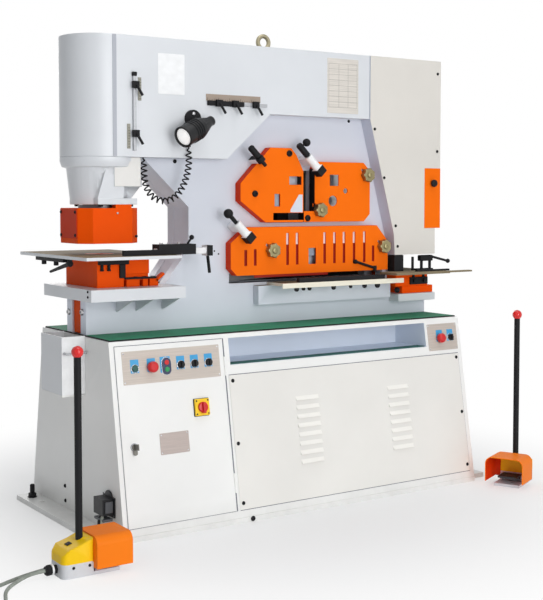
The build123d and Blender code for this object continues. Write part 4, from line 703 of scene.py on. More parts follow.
# Data plate and door lock: a blank lacquered plate held by four rivets, and a cylinder
# lock in a bright rosette with its key in it.
plate_grey = brushed_plate("data_plate_grey", tone(176, 178, 182), 0.42, (10, 800, 800))
data_taupe = brushed_plate("data_taupe", tone(182, 169, 163), 0.5, (10, 800, 800), 0.2)
key_zinc = brushed_plate("key_zinc", tone(112, 110, 104), 0.40, (300, 300, 300))
lock_x = -0.769
data_sheet = 0.001
data_plate = rounded_plate(0.120, 0.077, 0.003, data_sheet, on_front(-0.605, 0.325, plate_lift))
rivets = screws(0.0026, 0.0014, front_grid((-0.658, -0.552), (0.294, 0.356), plate_lift + data_sheet))
rosette = ring(0.0102, 0.0145, 0.004, on_front(lock_x, 0.327, plate_lift))
coats = ((data_taupe, [data_plate]), (chrome, rivets), (plate_grey, [rosette]))
assembled("data_plate", "bare_steel", *coats, body="door_body")
softened("door_key", 0.0006, [key_zinc])
key_bow = rounded_plate(0.016, 0.022, 0.007, 0.0022, on_front(lock_x, 0.309, 0.012))
assembled("door_key_bow", "zinc", (key_zinc, [key_bow]), body=node_bodies["door_key"])

# Louvred panel: sheet with two columns of pressed louvres, screwed over the hydraulic
# unit with black button-heads, on a gasket whose dark strips are painted shade. The
# louvres' upward faces take a lighter paint, a painted highlight.
panel_paint = sprayed_paint("panel_paint", tone(232, 230, 225), 0.42)
# Lighter paint on the louvres' upward faces: painted highlight.
louvre_lit_paint = sprayed_paint("louvre_lit_paint", tone(246, 244, 238), 0.40)
hood_rise = math.sin(front_lean) + 0.1
softened("louvre_panel", 0.0007, [panel_paint, louvre_lit_paint], lambda centre, normal: normal.z > hood_rise)
left, right, foot, head = seal_round(-0.350, 0.812, 0.048, 0.545, 0.0024)
coats = ((shaded_seal_rubber, [foot, head]), (lit_seal_rubber, [right]), (cabinet_paint, [left]))
assembled("panel_gasket", "cord_grey", *coats)
panel_sheet = 0.002
screw_places = [on_front(-0.335, z, panel_sheet) for z in (0.524, 0.291, 0.072)]
screw_places += [on_front(0.800, z, panel_sheet) for z in (0.528, 0.297, 0.075)]
assembled("panel_screws", "black_steel", (black_oxide, screws(0.0075, 0.004, screw_places)))

# Notcher controls: a second brushed plate at the right end, with an emergency stop
# and one selector in a bright ring.
notch_row = 0.616
notch_selector_x = 0.778
notch_sheet = rounded_plate(0.165, 0.1135, 0.003, plate_sheet, on_front(0.7355, 0.619), 0.0002)
legends = [legend(x, notch_row + legend_rise, plate_sheet) for x in (0.718, notch_selector_x)]
bright = [bezel(notch_selector_x, notch_row, plate_sheet, 0.0135)]
bright += screws(0.003, 0.0018, front_grid((0.660, 0.811), (0.570, 0.668), plate_sheet))
coats = ((panel_steel, [notch_sheet]), (legend_blue, legends), (chrome, bright))
assembled("notcher_control_plate", "bare_steel", *coats)


# Deck and shelf mats: green ribbed rubber laid on the cabinet's top and in the tool
# shelf, with a black edging strip round the deck.
def ribbed_rubber(name, colour, ribs):
    """Rubber matting with fine ribs along the machine and dust in the grooves."""
    material, tree, shader, place = node_material(name, 0.7)
    bands = {"Scale": ribs, "Distortion": 0.0}
    wave = shader_node(tree, "TexWave", bands, {"Vector": place}, bands_direction="Y").outputs["Fac"]
    dust = noise_on(tree, place, 18, 6)
    dressed(tree, shader, colour, dust, (0.78, 1.18), dust, (0.6, 0.85), wave, 0.35, 0.0012)
    return material


plain("deck_mat", ribbed_rubber("deck_mat_rubber", tone(28, 126, 90), 60))
mat_low, mat_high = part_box("deck_mat")
edging = 0.004
strips = []
for y in (mat_low.y - edging, mat_high.y):
    left_end = (mat_low.x - edging, y, mat_low.z)
    strips.append(slab(left_end, (mat_high.x + edging, y + edging, mat_high.z), 0.001))
for x in (mat_low.x - edging, mat_high.x):
    strips.append(slab((x, mat_low.y, mat_low.z), (x + edging, mat_high.y, mat_high.z), 0.001))
assembled("mat_edging", "mat_green", (black_oxide, strips))
shelf_rubber = ribbed_rubber("shelf_mat_rubber", tone(30, 86, 78), 60)
shelf_mat = slab((-0.336, -0.309, 0.5832), (0.638, -0.262, 0.5858), 0.001)
assembled("shelf_mat", "mat_green", (shelf_rubber, [shelf_mat]))

# Slug drawer: a folded sheet box that hangs on the left end under the slug chute, with
# a whiter front and a bent wire handle.
handle_front = -0.1022
plate_white = moulded("plate_white", tone(244, 245, 246), 0.3)
softened(
    "slug_drawer", 0.0008, [body_paint, plate_grey, plate_white],
    lambda centre, normal: 1 if centre.y < handle_front else 2 if normal.y < -0.8 else 0,
)

# Cable socket: a black industrial connector on a wall flange, with two locking levers
# and a gland on the cable.
softened("cable_socket", 0.004, [switch_black])
lever_grey = moulded("lever_grey", tone(74, 76, 80), 0.45)
flange = [slab((-0.840, -0.347, 0.078), (end_wall, -0.253, 0.150), 0.0015)]
flange.append(rod((-0.8415, -0.298, 0.138), (end_wall, -0.298, 0.138), 0.032, 0.002, 36))
levers = [slab((-0.880, -0.338, 0.0665), (-0.842, -0.262, 0.0755), 0.002)]
levers += [slab((-0.872, y, 0.098), (-0.842, y + 0.0045, 0.138), 0.0015) for y in (-0.3415, -0.263)]
levers += screws(0.0035, 0.002, [leftward(-0.840, y, z) for y in (-0.341, -0.259) for z in (0.084, 0.152)])
assembled("socket_flange", "black_plastic", (switch_black, flange), (lever_grey, levers))

# Back hatch: a plain sheet over the tank on the cabinet's sloping rear, painted with the
# cabinet and held by eight black screws.
back_turn = Matrix.Rotation(math.pi, 4, "Z")
hatch_sheet = 0.002
hatch = rounded_plate(0.900, 0.420, 0.012, hatch_sheet, back_turn @ on_front(-0.20, 0.330))
screw_places = front_grid((-0.630, -0.345, -0.055, 0.230), (0.140, 0.520), hatch_sheet)
hatch_screws = screws(0.0065, 0.004, [back_turn @ at for at in screw_places])
assembled("back_hatch", "body_paint", (cabinet_paint, [hatch]), (black_oxide, hatch_screws))

# Frame: two thick flame-cut plates in a cooler grey-white, with round steel spacers
# between them, a bent strip that closes the throat, an orange filler at the jaw's end
# and pan-head bolts in the plate ends.
frame_paint = sprayed_paint("frame_paint", tone(214, 218, 228), 0.40)
# A lighter copy of the frame paint on the plates' left-facing faces at the throat and on the throat strip:
# painted light.
throat_lit_paint = sprayed_paint("throat_lit_paint", tone(230, 237, 250), 0.40)
for node in ("side_plate_front", "side_plate_rear"):
    softened(
        node, 0.002, [frame_paint, throat_lit_paint], lambda centre, normal: normal.x < -0.3 and centre.x < -0.3,
    )
throat_line = [(-0.483, 0.886), (-0.414, 0.975), (-0.381, 1.037), (-0.381, 1.178), (-0.574, 1.362)]
half_gap = 0.0365
throat = bmesh.new()
corners = [throat.verts.new((x, -half_gap, z)) for x, z in throat_line]
runs = [throat.edges.new(pair) for pair in zip(corners, corners[1:])]
drawn = bmesh.ops.extrude_edge_only(throat, edges=runs)["geom"]
far_side = [item for item in drawn if isinstance(item, bmesh.types.BMVert)]
bmesh.ops.translate(throat, vec=(0, 2 * half_gap, 0), verts=far_side)
bmesh.ops.recalc_face_normals(throat, faces=throat.faces)
bmesh.ops.solidify(throat, geom=throat.faces[:], thickness=0.002)
bmesh.ops.recalc_face_normals(throat, faces=throat.faces)
finished("throat_strip", throat, [throat_lit_paint], "machine", 30)


def bare_steel(name, colour, roughness, grain=(900, 40, 40)):
    """Ground steel: bright, with fine grinding lines along one way and darker oil marks."""
    material, tree, shader, place = node_material(name, roughness, 0.9)
    lines = brushed_lines(tree, place, grain)
    marks = noise_on(tree, place, 9, 5)
    dullness = (roughness - 0.08, roughness + 0.14)
    dressed(tree, shader, colour, marks, (0.72, 1), lines, dullness, lines, 0.12, 0.0002)
    return material


dark_steel = bare_steel("dark_steel", tone(120, 120, 122), 0.40)
bright_steel = bare_steel("bright_steel", tone(200, 200, 202), 0.30)
block_paint = sprayed_paint("block_paint", tone(246, 84, 2), 0.5, gloss=0.06)
for node in ("frame_spacers", "fixed_blades", "moving_blades"):
    plain(node, dark_steel)
jaw_end = -0.823
filler = slab((-0.816, -half_gap, 0.7055), (-0.690, half_gap, 0.870), 0.002)
pan_heads = screws(0.013, 0.008, [leftward(jaw_end, 0.067, 0.780), leftward(jaw_end, -0.053, 0.788)])
assembled("jaw_filler", "block_orange", (block_paint, [filler]), (bright_steel, pan_heads))
plate_front = -0.085
dowels = [(-0.283, 1.021), (-0.268, 1.004), (-0.249, 0.992)]
heads = screws(0.008, 0.005, [outward(-0.445, plate_front, 1.355)])
heads += screws(0.013, 0.008, [outward(0.613, plate_front, 0.814)])
heads += screws(0.0035, 0.002, [outward(x, plate_front, z) for x, z in dowels])
assembled("frame_screws", "black_steel", (black_oxide, heads))

# Shear beam and cylinders inside the frame: welded steel in a grey paint, with the bare
# ground rod that the beam hangs on.
beam_paint = sprayed_paint("beam_paint", tone(196, 199, 206), 0.45)
for node in ("shear_beam", "punch_cylinder", "shear_cylinder"):
    plain(node, beam_paint)
plain("cylinder_rod", bright_steel)


# Upper cover and punch housing: folded sheet in body paint with a grey seam strip between
# them, painted shade for the step there; the covers' undersides take the same grey as
# painted shade. The two plates on it are blank; the larger one has a ruled table.
def facing(x, y, z):
    """Placement on an upright front face: across it, up it and out of it."""
    return Matrix.Translation((x, y, z)) @ Matrix.Rotation(math.radians(90), 4, "X")


seam_shade_grey = sprayed_paint("seam_shade_grey", tone(174, 177, 186), 0.45)
plate_beige = brushed_plate("ruled_plate_beige", tone(212, 207, 200), 0.45, (10, 600, 600))
plate_ruling = moulded("plate_ruling", tone(150, 146, 140), 0.5)
for node in ("upper_cover", "punch_housing"):
    softened(node, 0.003, [body_paint, seam_shade_grey], lambda centre, normal: normal.z < -0.3 and centre.z < 1.52)
cover_face = -0.145
ruling_y = (cover_face - 0.0013, cover_face - 0.0008)
ruling_width = 0.0012
table_left = 0.248
table_foot = 1.590
label_plate = rounded_plate(0.114, 0.152, 0.004, 0.0010, facing(-0.491, cover_face, 1.681))
ruled_plate = rounded_plate(0.162, 0.226, 0.003, 0.0010, facing(0.322, cover_face, 1.679))
rulings = []
for z in [table_foot + 0.0225 * row for row in range(9)]:
    rulings.append(slab((table_left, ruling_y[0], z), (0.396, ruling_y[1], z + ruling_width), 0.0002))
for x in (table_left, 0.300, 0.348, 0.3948):
    rulings.append(slab((x, ruling_y[0], table_foot), (x + ruling_width, ruling_y[1], 1.7712), 0.0002))
cover_screw = screws(0.0065, 0.004, [outward(0.353, cover_face, 1.535)])
seam_shade_strip = slab((-0.7365, -0.1465, 1.368), (-0.7205, -0.1445, 1.813), 0.0006)
coats = [(plate_white, [label_plate]), (plate_beige, [ruled_plate]), (plate_ruling, rulings)]
assembled("cover_plates", "body_paint", *coats, (black_oxide, cover_screw), (seam_shade_grey, [seam_shade_strip]))

# End cover: folded sheet in a warmer cream over the shear cylinder, with black screws,
# and an orange hatch with a black knob at its edge.
cover_paint = sprayed_paint("cover_paint", tone(222, 218, 211), 0.42)
# Cool blue-grey copy of the cover paint on the left-facing returns: painted shade.
return_shade_tint = sprayed_paint("return_shade_tint", tone(204, 210, 224), 0.42)
guard_paint = sprayed_paint("guard_paint", tone(255, 114, 6), 0.5, gloss=0.1)
softened("right_cover", 0.0025, [cover_paint, return_shade_tint], lambda centre, normal: normal.x < -0.3)
end_cover_face = -0.150
hatch_front = -0.152
knob_outline = [
    (0, 0), (0.008, 0), (0.008, 0.006), (0.0155, 0.008), (0.0165, 0.012), (0.0155, 0.017), (0.010, 0.0195),
    (0, 0.020),
]
cover_holes = [(0.489, 1.507), (0.542, 1.301), (0.607, 1.094), (0.619, 1.005), (0.842, 1.760), (0.842, 1.420)]
side_hatch = slab((0.770, hatch_front, 1.082), (0.8605, end_cover_face, 1.345), 0.0008)
fittings = [turned(knob_outline, 24, outward(0.814, hatch_front, 1.279))]
fittings += screws(0.0065, 0.004, [outward(x, end_cover_face, z) for x, z in cover_holes])
assembled("end_cover_hatch", "guard_orange", (guard_paint, [side_hatch]), (black_oxide, fittings))

# Lifting eye: a forged ring bolt, zinc plated with a yellow cast, screwed into the
# frame through the cover.
softened("lifting_eye", 0.0012, [bare_steel("eye_zinc", tone(168, 160, 134), 0.42, (60, 60, 60))])

# Work lamp: a black spun shade with cooling rings on a pin bracket, with a white
# diffusing glass behind a rolled rim. The glass glows faintly, a painted glow, though the
# lamp sheds no light.
softened("lamp_arm", 0.001, [black_oxide])
softened("lamp_head", 0.001, [switch_black])
lens_white_glow = moulded("lens_white_glow", tone(246, 246, 244), 0.18)
lens_shader = lens_white_glow.node_tree.nodes["Principled BSDF"]
# Faint emission in the glass: painted glow.
lens_shader.inputs["Emission Color"].default_value = (1, 1, 0.98, 1)
lens_shader.inputs["Emission Strength"].default_value = 0.35
lens_centre = Vector((-0.490, -0.232, 1.440))
lamp_tail = Vector((-0.338, -0.184, 1.510))
into_lamp = (lamp_tail - lens_centre).normalized()
lens_outline = [(0, -0.001), (0.018, -0.0002), (0.028, 0.002), (0.0332, 0.0045), (0.0332, 0.008), (0, 0.008)]
rim_outline = [
    (0.0335, 0.0), (0.0365, -0.0024), (0.0412, -0.0008), (0.0412, 0.006), (0.0400, 0.007), (0.0335, 0.0),
]
fin_outline = [(0.0395, 0), (0.0425, 0.001), (0.0425, 0.004), (0.0395, 0.005), (0.0395, 0)]
lens = turned(lens_outline, 36, along(lens_centre, into_lamp))
rings = [turned(rim_outline, 36, along(lens_centre, into_lamp))]
for distance in (0.044, 0.056, 0.068, 0.080):
    rings.append(turned(fin_outline, 36, along(lens_centre + into_lamp * distance, into_lamp)))
coats = ((lens_white_glow, [lens]), (switch_black, rings))
assembled("lamp_glass", "black_plastic", *coats, body="lamp_head_body", crease=35)
base_screw = screws(0.007, 0.004, [outward(-0.402, -0.159, 1.535)])
assembled("lamp_base_screw", "black_steel", (bright_steel, base_screw))

# Stroke stops: bright rails on the cover with black clamps and levers on them, and thin
# scale plates beside them with plain strokes.
rail_front = -0.1552
softened("stroke_stops", 0.0012, [black_oxide, plate_grey], lambda centre, normal: centre.y > rail_front)
scale_brown = brushed_plate("scale_brown", tone(162, 146, 132), 0.5, (500, 20, 500), 0.1)
scale_grey = brushed_plate("scale_grey", tone(150, 148, 136), 0.5, (500, 20, 500), 0.1)
stroke_gap = 0.010
long_scale = slab((-0.340, -0.1470, 1.5895), (-0.090, cover_face, 1.6150), 0.0004)
dark = [slab((-0.335, -0.1572, 1.5705), (-0.171, cover_face, 1.5895), 0.0015)]
dark.append(slab((-0.6590, -0.1575, 1.664), (-0.6410, cover_face, 1.680), 0.003))
for stroke in range(24):
    x = -0.334 + stroke_gap * stroke
    height = 0.011 if stroke % 5 == 0 else 0.006
    dark.append(slab((x, -0.1473, 1.5900), (x + 0.0012, -0.1469, 1.5900 + height), 0.0001))
upright_scales = []
for left, low, high in ((-0.6330, 1.5755, 1.6610), (-0.6790, 1.3965, 1.4880)):
    right = left + 0.0135
    upright_scales.append(slab((left, -0.1475, low), (right, cover_face, high), 0.0004))
    for z in [low + 0.006 + stroke_gap * stroke for stroke in range(8)]:
        dark.append(slab((left + 0.004, -0.1478, z), (right, -0.1474, z + 0.001), 0.0001))
coats = ((scale_brown, [long_scale]), (black_oxide, dark), (scale_grey, upright_scales))
assembled("stroke_scales", "black_steel", *coats)


# Neck: a grey-white iron casting that guides the ram, with a machined pad on its front
# in a paler paint and hexagon bolts in its flange.
def neck_pad(centre, normal):
    """True on the flat pad of the casting's front."""
    return -0.126 < centre.y < -0.1205 and normal.y < -0.7 and centre.x > -0.7215


pad_paint = sprayed_paint("pad_paint", tone(232, 230, 226), 0.42)
softened("neck_casting", 0.003, [body_paint, pad_paint], neck_pad)
bolts = [hexagon(0.016, 0.008, downward(x, y, 1.189)) for x in (-0.770, -0.645) for y in (-0.105, 0.105)]
assembled("neck_bolts", "black_steel", (black_oxide, bolts))

# Ram and stripper: a ground ram with a dark collar, above a machined stripper block in
# deep orange, whose end plate is held by four black screws. The end plate is a darker
# red that stands for the shade on the block's left end: painted shade.
plain("punch_ram", bare_steel("ram_steel", tone(96, 97, 100), 0.34, (60, 60, 900)))
softened("stripper", 0.0022, [block_paint])
end_shade_red = sprayed_paint("end_shade_red", tone(206, 56, 18), 0.5, gloss=0.08)
stripper_end = -0.850
plate_end = -0.853
stripper_face = -0.120
end_plate = slab((plate_end, -0.074, 1.064), (stripper_end, 0.074, 1.172), 0.001)
dark = screws(0.0065, 0.004, [leftward(plate_end, y, z) for y in (-0.064, 0.064) for z in (1.075, 1.161)])
dark += screws(0.0055, 0.004, [outward(-0.630, stripper_face, 1.070)])
bright = screws(0.0045, 0.003, [outward(-0.7076, stripper_face, 1.157)])
coats = ((black_oxide, dark), (bright_steel, bright), (end_shade_red, [end_plate]))
assembled("stripper_end_plate", "block_orange", *coats)

# Punch table: a ground plate with a painted edge, a guide bar for the fence and, under
# its left edge, a black rail with knobs and a clamp lever.
table_steel = brushed_plate("table_steel", tone(138, 126, 102), 0.7, (900, 40, 40), 0.1, 0.1)
table_top = 1.002
table_under = 0.990


def table_finish(centre, normal):
    """Top and guide bar bare, edges painted, end blocks and levers black."""
    if centre.z > table_top + 0.0005:
        return 2 if centre.x > -0.386 or centre.x < -0.602 else 1
    if centre.z < table_under - 0.0005:
        return 2
    return 0 if normal.z > 0.5 else 3


softened("punch_table", 0.001, [table_steel, bright_steel, black_oxide, body_paint], table_finish)
lever_head = Vector((-0.896, -0.110, 0.974))
lever_tip = Vector((-0.896, 0.073, 0.935))
lever_run = (lever_tip - lever_head).length
lever_outline = [
    (0, 0), (0.0085, 0), (0.0078, 0.040), (0.0050, lever_run - 0.006), (0.0030, lever_run), (0, lever_run),
]
clamps = [slab((-0.906, -0.070, 0.976), (-0.882, 0.190, table_under), 0.0015)]
clamps += [hexagon(0.017, 0.016, downward(-0.894, y, 0.977)) for y in (0.135, 0.020)]
clamps += [rod((-0.896, -0.110, table_under), lever_head, 0.009), ball(lever_head, 0.0125)]
clamps.append(turned(lever_outline, 20, along(lever_head, lever_tip - lever_head)))
assembled("table_clamps", "black_steel", (black_oxide, clamps))

# Fence: a black bar on a sliding sleeve that rides on the guide bar, with a ball lever
# and two bright clamp bolts on top.
softened("punch_fence", 0.0015, [black_oxide])
sleeve_y = -0.2125
sleeve_top = 1.041
lever = [rod((-0.462, sleeve_y, sleeve_top), (-0.446, sleeve_y, 1.062), 0.0045)]
lever.append(ball((-0.444, sleeve_y, 1.065), 0.0095))
clamp_bolts = [hexagon(0.012, 0.006, upward(x, sleeve_y, sleeve_top)) for x in (-0.575, -0.500)]
coats = ((black_oxide, lever), (bright_steel, clamp_bolts))
assembled("fence_lever", "black_steel", *coats, body=node_bodies["punch_fence"])

# Work tray: folded sheet in body paint on welded gussets, with two small black screws
# in its end.
softened("work_tray", 0.0015, [body_paint])
tray_screws = screws(0.005, 0.003, [leftward(-0.868, -0.202, z) for z in (0.875, 0.856)])
assembled("tray_screws", "black_steel", (black_oxide, tray_screws))

# Die holder: deep orange blocks, held by a black clamp bar with hanging screws, an
# angle bracket and hexagon bolts in the small clamp blocks.
softened("die_block", 0.0018, [block_paint])
die_face = -0.140
bracket_face = die_face - 0.010
screw_y = die_face - 0.006
clamps = [slab((-0.800, die_face - 0.012, 0.967), (-0.676, die_face, 0.9885), 0.002)]
clamps.append(slab((-0.7130, bracket_face, 0.916), (-0.6900, die_face, 0.967), 0.0015))
clamps.append(slab((-0.6920, bracket_face, 0.9105), (-0.5600, die_face, 0.9180), 0.0015))
for x in (-0.785, -0.757):
    clamps.append(rod((x, screw_y, 0.950), (x, screw_y, 0.968), 0.0055))
    clamps.append(hexagon(0.013, 0.006, downward(x, screw_y, 0.950)))
clamps += [hexagon(0.015, 0.009, upward(x, die_face + 0.010, 0.910)) for x in (-0.640, -0.603, -0.568)]
tab_at = Matrix.Translation((-0.540, die_face + 0.012, 0.914)) @ Matrix.Rotation(math.radians(-38), 4, "Y")
blocks = [slab((-0.022, -0.012, -0.005), (0.022, 0.012, 0.005), 0.001, tab_at)]
blocks.append(slab((-0.690, -0.128, 0.906), (-0.585, -0.060, 0.945), 0.001))
assembled("die_clamps", "black_steel", (black_oxide, clamps), (block_paint, blocks))

# Shear guards: folded sheet in a clear bright orange, held by black button-head bolts.
# The folded sides take a redder, darker orange, and the angle shear's slot lip and the
# left-facing walls of its slot are black: both painted shade. The bar and flat guards
# slide under their lobed knobs.
# Darker orange for the folded sides and the hood insides: painted shade.
fold_shade_orange = sprayed_paint("fold_shade_orange", tone(222, 56, 10), 0.5, gloss=0.08)
slot_shade_black = rubber("slot_shade_black", tone(17, 17, 19))
guard_paints = [guard_paint, fold_shade_orange, slot_shade_black]
flat_guard_left = -0.216
flat_guard_length = 0.800
slot_shares = (0.0875, 0.144, 0.899, 0.341, 0.401, 0.576, 0.64, 0.703, 0.77, 0.839)
slot_places = [flat_guard_left + flat_guard_length * share for share in slot_shares]
slot_half = 0.004
slot_widening = 0.0024


def guard_finish(centre, normal):
    """Front bright; folds in a darker orange and the slot's lip and left-facing walls black, as painted
    shade.
    """
    if normal.y < -0.8:
        return 0
    if 1.117 < centre.z < 1.155 and -0.030 < centre.x < 0.142:
        return 2
    return 2 if 0.130 < centre.x < 0.200 and 1.150 < centre.z < 1.352 and normal.x < -0.3 else 1


def wider_slots(place):
    """Opens the sight slots to the width that they have between their turned edges."""
    for x in slot_places:
        if abs(place.x - x) < slot_half + 0.0003 and 0.935 < place.z < 1.080:
            return place.x + math.copysign(slot_widening, place.x - x)
    return place.x


def wider_slit(place):
    """Opens the slit of the angle shear's guard in the same way."""
    if abs(place.x - 0.005) < 0.012 and 1.160 < place.z < 1.240:
        return 0.0065 + math.copysign(0.0130, place.x - 0.005)
    return place.x


softened("corner_guard", 0.0014, guard_paints, guard_finish, reshape=wider_slit)
softened("bar_guard", 0.0014, guard_paints, guard_finish)
softened("flat_guard", 0.0014, guard_paints, guard_finish, reshape=wider_slots)
guard_face = -0.125
bolt_places = (("corner_guard", 0.065, 1.395), ("corner_guard", -0.102, 1.231), ("bar_guard", 0.157, 1.131))
for number, (guard, x, z) in enumerate(bolt_places, start=1):
    head = screws(0.0135, 0.009, [outward(x, guard_face, z)])
    assembled(f"guard_bolt_{number}", "black_steel", (black_oxide, head), body=node_bodies[guard])

# Flat guard's fittings: a black wing lever and a grey pane on the guard, and strips behind
# its sight slots: dark red below as painted shade, pale above as painted light, and a dark
# red strip along the guard's foot as painted shadow.
pane_grey = moulded("pane_grey", tone(150, 158, 172), 0.15)
sight_shade_red = sprayed_paint("sight_shade_red", tone(150, 26, 12), 0.5, gloss=0.2)
sight_lit_pale = sprayed_paint("sight_lit_pale", tone(236, 214, 214), 0.5)
lever_y = -0.1365
lever = [rod((0.402, guard_face, 0.944), (0.402, -0.137, 0.944), 0.009)]
lever.append(rod((0.398, lever_y, 0.9452), (0.505, lever_y, 0.9140), 0.0055))
lever.append(rod((0.505, lever_y, 0.924), (0.505, lever_y, 0.900), 0.0075))
pane = slab((0.1632, -0.1140, 0.9750), (0.1998, -0.1115, 1.0068), 0.0005)
flat_guard_body = node_bodies["flat_guard"]
coats = ((black_oxide, lever), (pane_grey, [pane]))
assembled("flat_guard_lever", "black_steel", *coats, body=flat_guard_body)
strip_front = -0.1190
strip_back = -0.1175
strip_join = 1.024
# Dark red strips are painted shade and shadow; pale strips are painted light.
red = [slab((-0.105, -0.1248, 0.8935), (0.262, -0.1215, 0.9060), 0.0008)]
pale = []
for left, right in ((-0.160, -0.090), (0.040, 0.150), (0.214, 0.530)):
    red.append(slab((left, strip_front, 0.932), (right, strip_back, strip_join), 0.0004))
    pale.append(slab((left, strip_front, strip_join), (right, strip_back, 1.082), 0.0004))
assembled("sight_strips", "guard_orange", (sight_shade_red, red), (sight_lit_pale, pale), body=flat_guard_body)


# Behind the guards: pale plates under the knobs' slots and white sleeves in the bar holes,
# both painted light that brightens the openings, a corner plate and a pane at the angle
# shear, and black brushes that close its slot, which are painted shade where the slots
# would show through.
def cut_plate(corners, thickness, at):
    """Flat plate of any outline, its back on the placement."""
    shape = bmesh.new()
    back = shape.faces.new([shape.verts.new((x, y, 0)) for x, y in corners])
    front = bmesh.ops.extrude_face_region(shape, geom=[back])["geom"]
    raised = [item for item in front if isinstance(item, bmesh.types.BMVert)]
    bmesh.ops.translate(shape, vec=(0, 0, thickness), verts=raised)
    bmesh.ops.holes_fill(shape, edges=shape.edges[:], sides=0)
    bmesh.ops.recalc_face_normals(shape, faces=shape.faces)
    return placed(shape, at)


flat_knobs = ((-0.022, 1.002), (0.555, 1.006))
bar_knobs = ((0.215, 1.164), (0.464, 1.311))
slant = Matrix.Rotation(math.radians(45), 4, "Z")
tracks = []
for x, z in (*flat_knobs, bar_knobs[1]):
    at = facing(x - 0.018, guard_face + 0.0092, z + 0.018) @ slant
    tracks.append(rounded_plate(0.026, 0.078, 0.006, 0.0012, at, 0.0004))
assembled("knob_tracks", "guard_orange", (sight_lit_pale, tracks))
# White sleeves that make the bar holes read bright: painted light.
sleeve_back = -0.0880
sleeve_front = -0.1195
sleeve_wall = 0.0016
square_x = 0.2940
square_z = 1.288
inner = 0.0232
outer = inner + sleeve_wall
walls = []
for side in (-1, 1):
    low, high = sorted((side * inner, side * outer))
    near_corner = (square_x + low, sleeve_front, square_z - outer)
    walls.append(slab(near_corner, (square_x + high, sleeve_back, square_z + outer), 0.0004))
    near_corner = (square_x - outer, sleeve_front, square_z + low)
    walls.append(slab(near_corner, (square_x + outer, sleeve_back, square_z + high), 0.0004))
for x, z, radius in ((0.287, 1.202, 0.0222), (0.353, 1.244, 0.0112)):
    at = outward(x, sleeve_back, z)
    walls.append(ring(radius, radius + sleeve_wall, sleeve_back - sleeve_front, at))
assembled("bar_hole_light_sleeves", "guard_orange", (plate_white, walls), body=node_bodies["bar_guard"])
corner_outline = [(0.113, 1.228), (0.071, 1.166), (0.071, 1.1555), (0.131, 1.1555), (0.131, 1.228)]
corner_plate = cut_plate(corner_outline, 0.0009, facing(0, guard_face + 0.0004, 0))
slit_pane = slab((-0.004, strip_front, 1.166), (0.017, strip_back, 1.236), 0.0004)
coats = ((frame_paint, [corner_plate]), (pane_grey, [slit_pane]))
assembled("corner_plates", "guard_orange", *coats, body=node_bodies["corner_guard"])
# Black strips behind the slots: painted shade that closes the view through them.
slot_shade_strips = [slab((-0.018, 0.076, 1.100), (0.140, 0.083, 1.166), 0.0005)]
slot_shade_strips.append(slab((0.126, 0.076, 1.100), (0.206, 0.083, 1.365), 0.0005))
slot_shade_strips.append(slab((-0.190, 0.0855, 0.868), (0.640, 0.0900, 0.912), 0.0005))
assembled("slot_shade_brush", "cord_black", (slot_shade_black, slot_shade_strips))

# Knobs and hold-downs: yellow-plated lobed knobs, white sleeves on black blocks, and
# black screws with ball or bar grips.
knob_zinc = bare_steel("knob_zinc", tone(160, 150, 112), 0.42, (60, 60, 60))
hold_y = -0.152
hold_axis = Vector((-1, 0, 1)).normalized()
hold_tips = {
    "holddown_screw_1": Vector((-0.136, hold_y, 1.045)),
    "holddown_screw_2": Vector((0.209, hold_y, 1.314)),
    "holddown_screw_3": Vector((-0.071, hold_y, 1.345)),
}
ball_screw, bar_screw, short_screw = hold_tips


def fitting_finish(centre, normal):
    """Knobs plated, clamp blocks black, sleeves and posts white."""
    if any(math.hypot(centre.x - x, centre.z - z) < 0.031 for x, z in flat_knobs + bar_knobs):
        return 0
    for node, tip in hold_tips.items():
        run = (centre - tip).dot(hold_axis)
        off = (centre - tip - hold_axis * run).length
        if off < 0.040 and (run < 0.0338 or node == short_screw):
            return 1
    return 2


softened("guard_fittings", 0.0018, [knob_zinc, black_oxide, plate_white], fitting_finish, 35)
hub_outline = [
    (0, 0), (0.0125, 0), (0.0125, 0.003), (0.0105, 0.005), (0.0065, 0.0055), (0.0065, 0.004), (0, 0.004),
]
lobe_count = 7
lobe_reach = 0.0225
hubs = []
for x, z in flat_knobs + bar_knobs:
    hubs.append(turned(hub_outline, 24, outward(x, -0.1513, z)))
    for lobe in range(lobe_count):
        angle = math.tau * (lobe + 0.5) / lobe_count
        lobe_x = x + lobe_reach * math.cos(angle)
        lobe_z = z + lobe_reach * math.sin(angle)
        hubs.append(rod((lobe_x, -0.1270, lobe_z), (lobe_x, -0.1500, lobe_z), 0.0080, 0.002))
assembled("knob_hubs", "zinc", (knob_zinc, hubs))


def on_hold(node, run):
    """Point on a hold-down screw's axis, so far from its tip."""
    return hold_tips[node] + hold_axis * run


def hold_rod(node, start, end, radius, edge=0.0008):
    """Round length of a hold-down screw."""
    return rod(on_hold(node, start), on_hold(node, end), radius, edge)


def hold_grip(node, start, end, radius):
    """Bar grip with rounded ends on a hold-down screw."""
    length = end - start
    outline = [
        (0, 0), (radius * 0.7, 0), (radius, 0.004), (radius, length - 0.006), (radius * 0.75, length - 0.001),
        (0, length),
    ]
    return turned(outline, 24, along(on_hold(node, start), hold_axis))


def hold_screw(node, name, *coats):
    """A hold-down screw's own piece, which stands for its solid."""
    piece = assembled(name, "black_steel", *coats, body=node_bodies[node], crease=35)
    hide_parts(node)


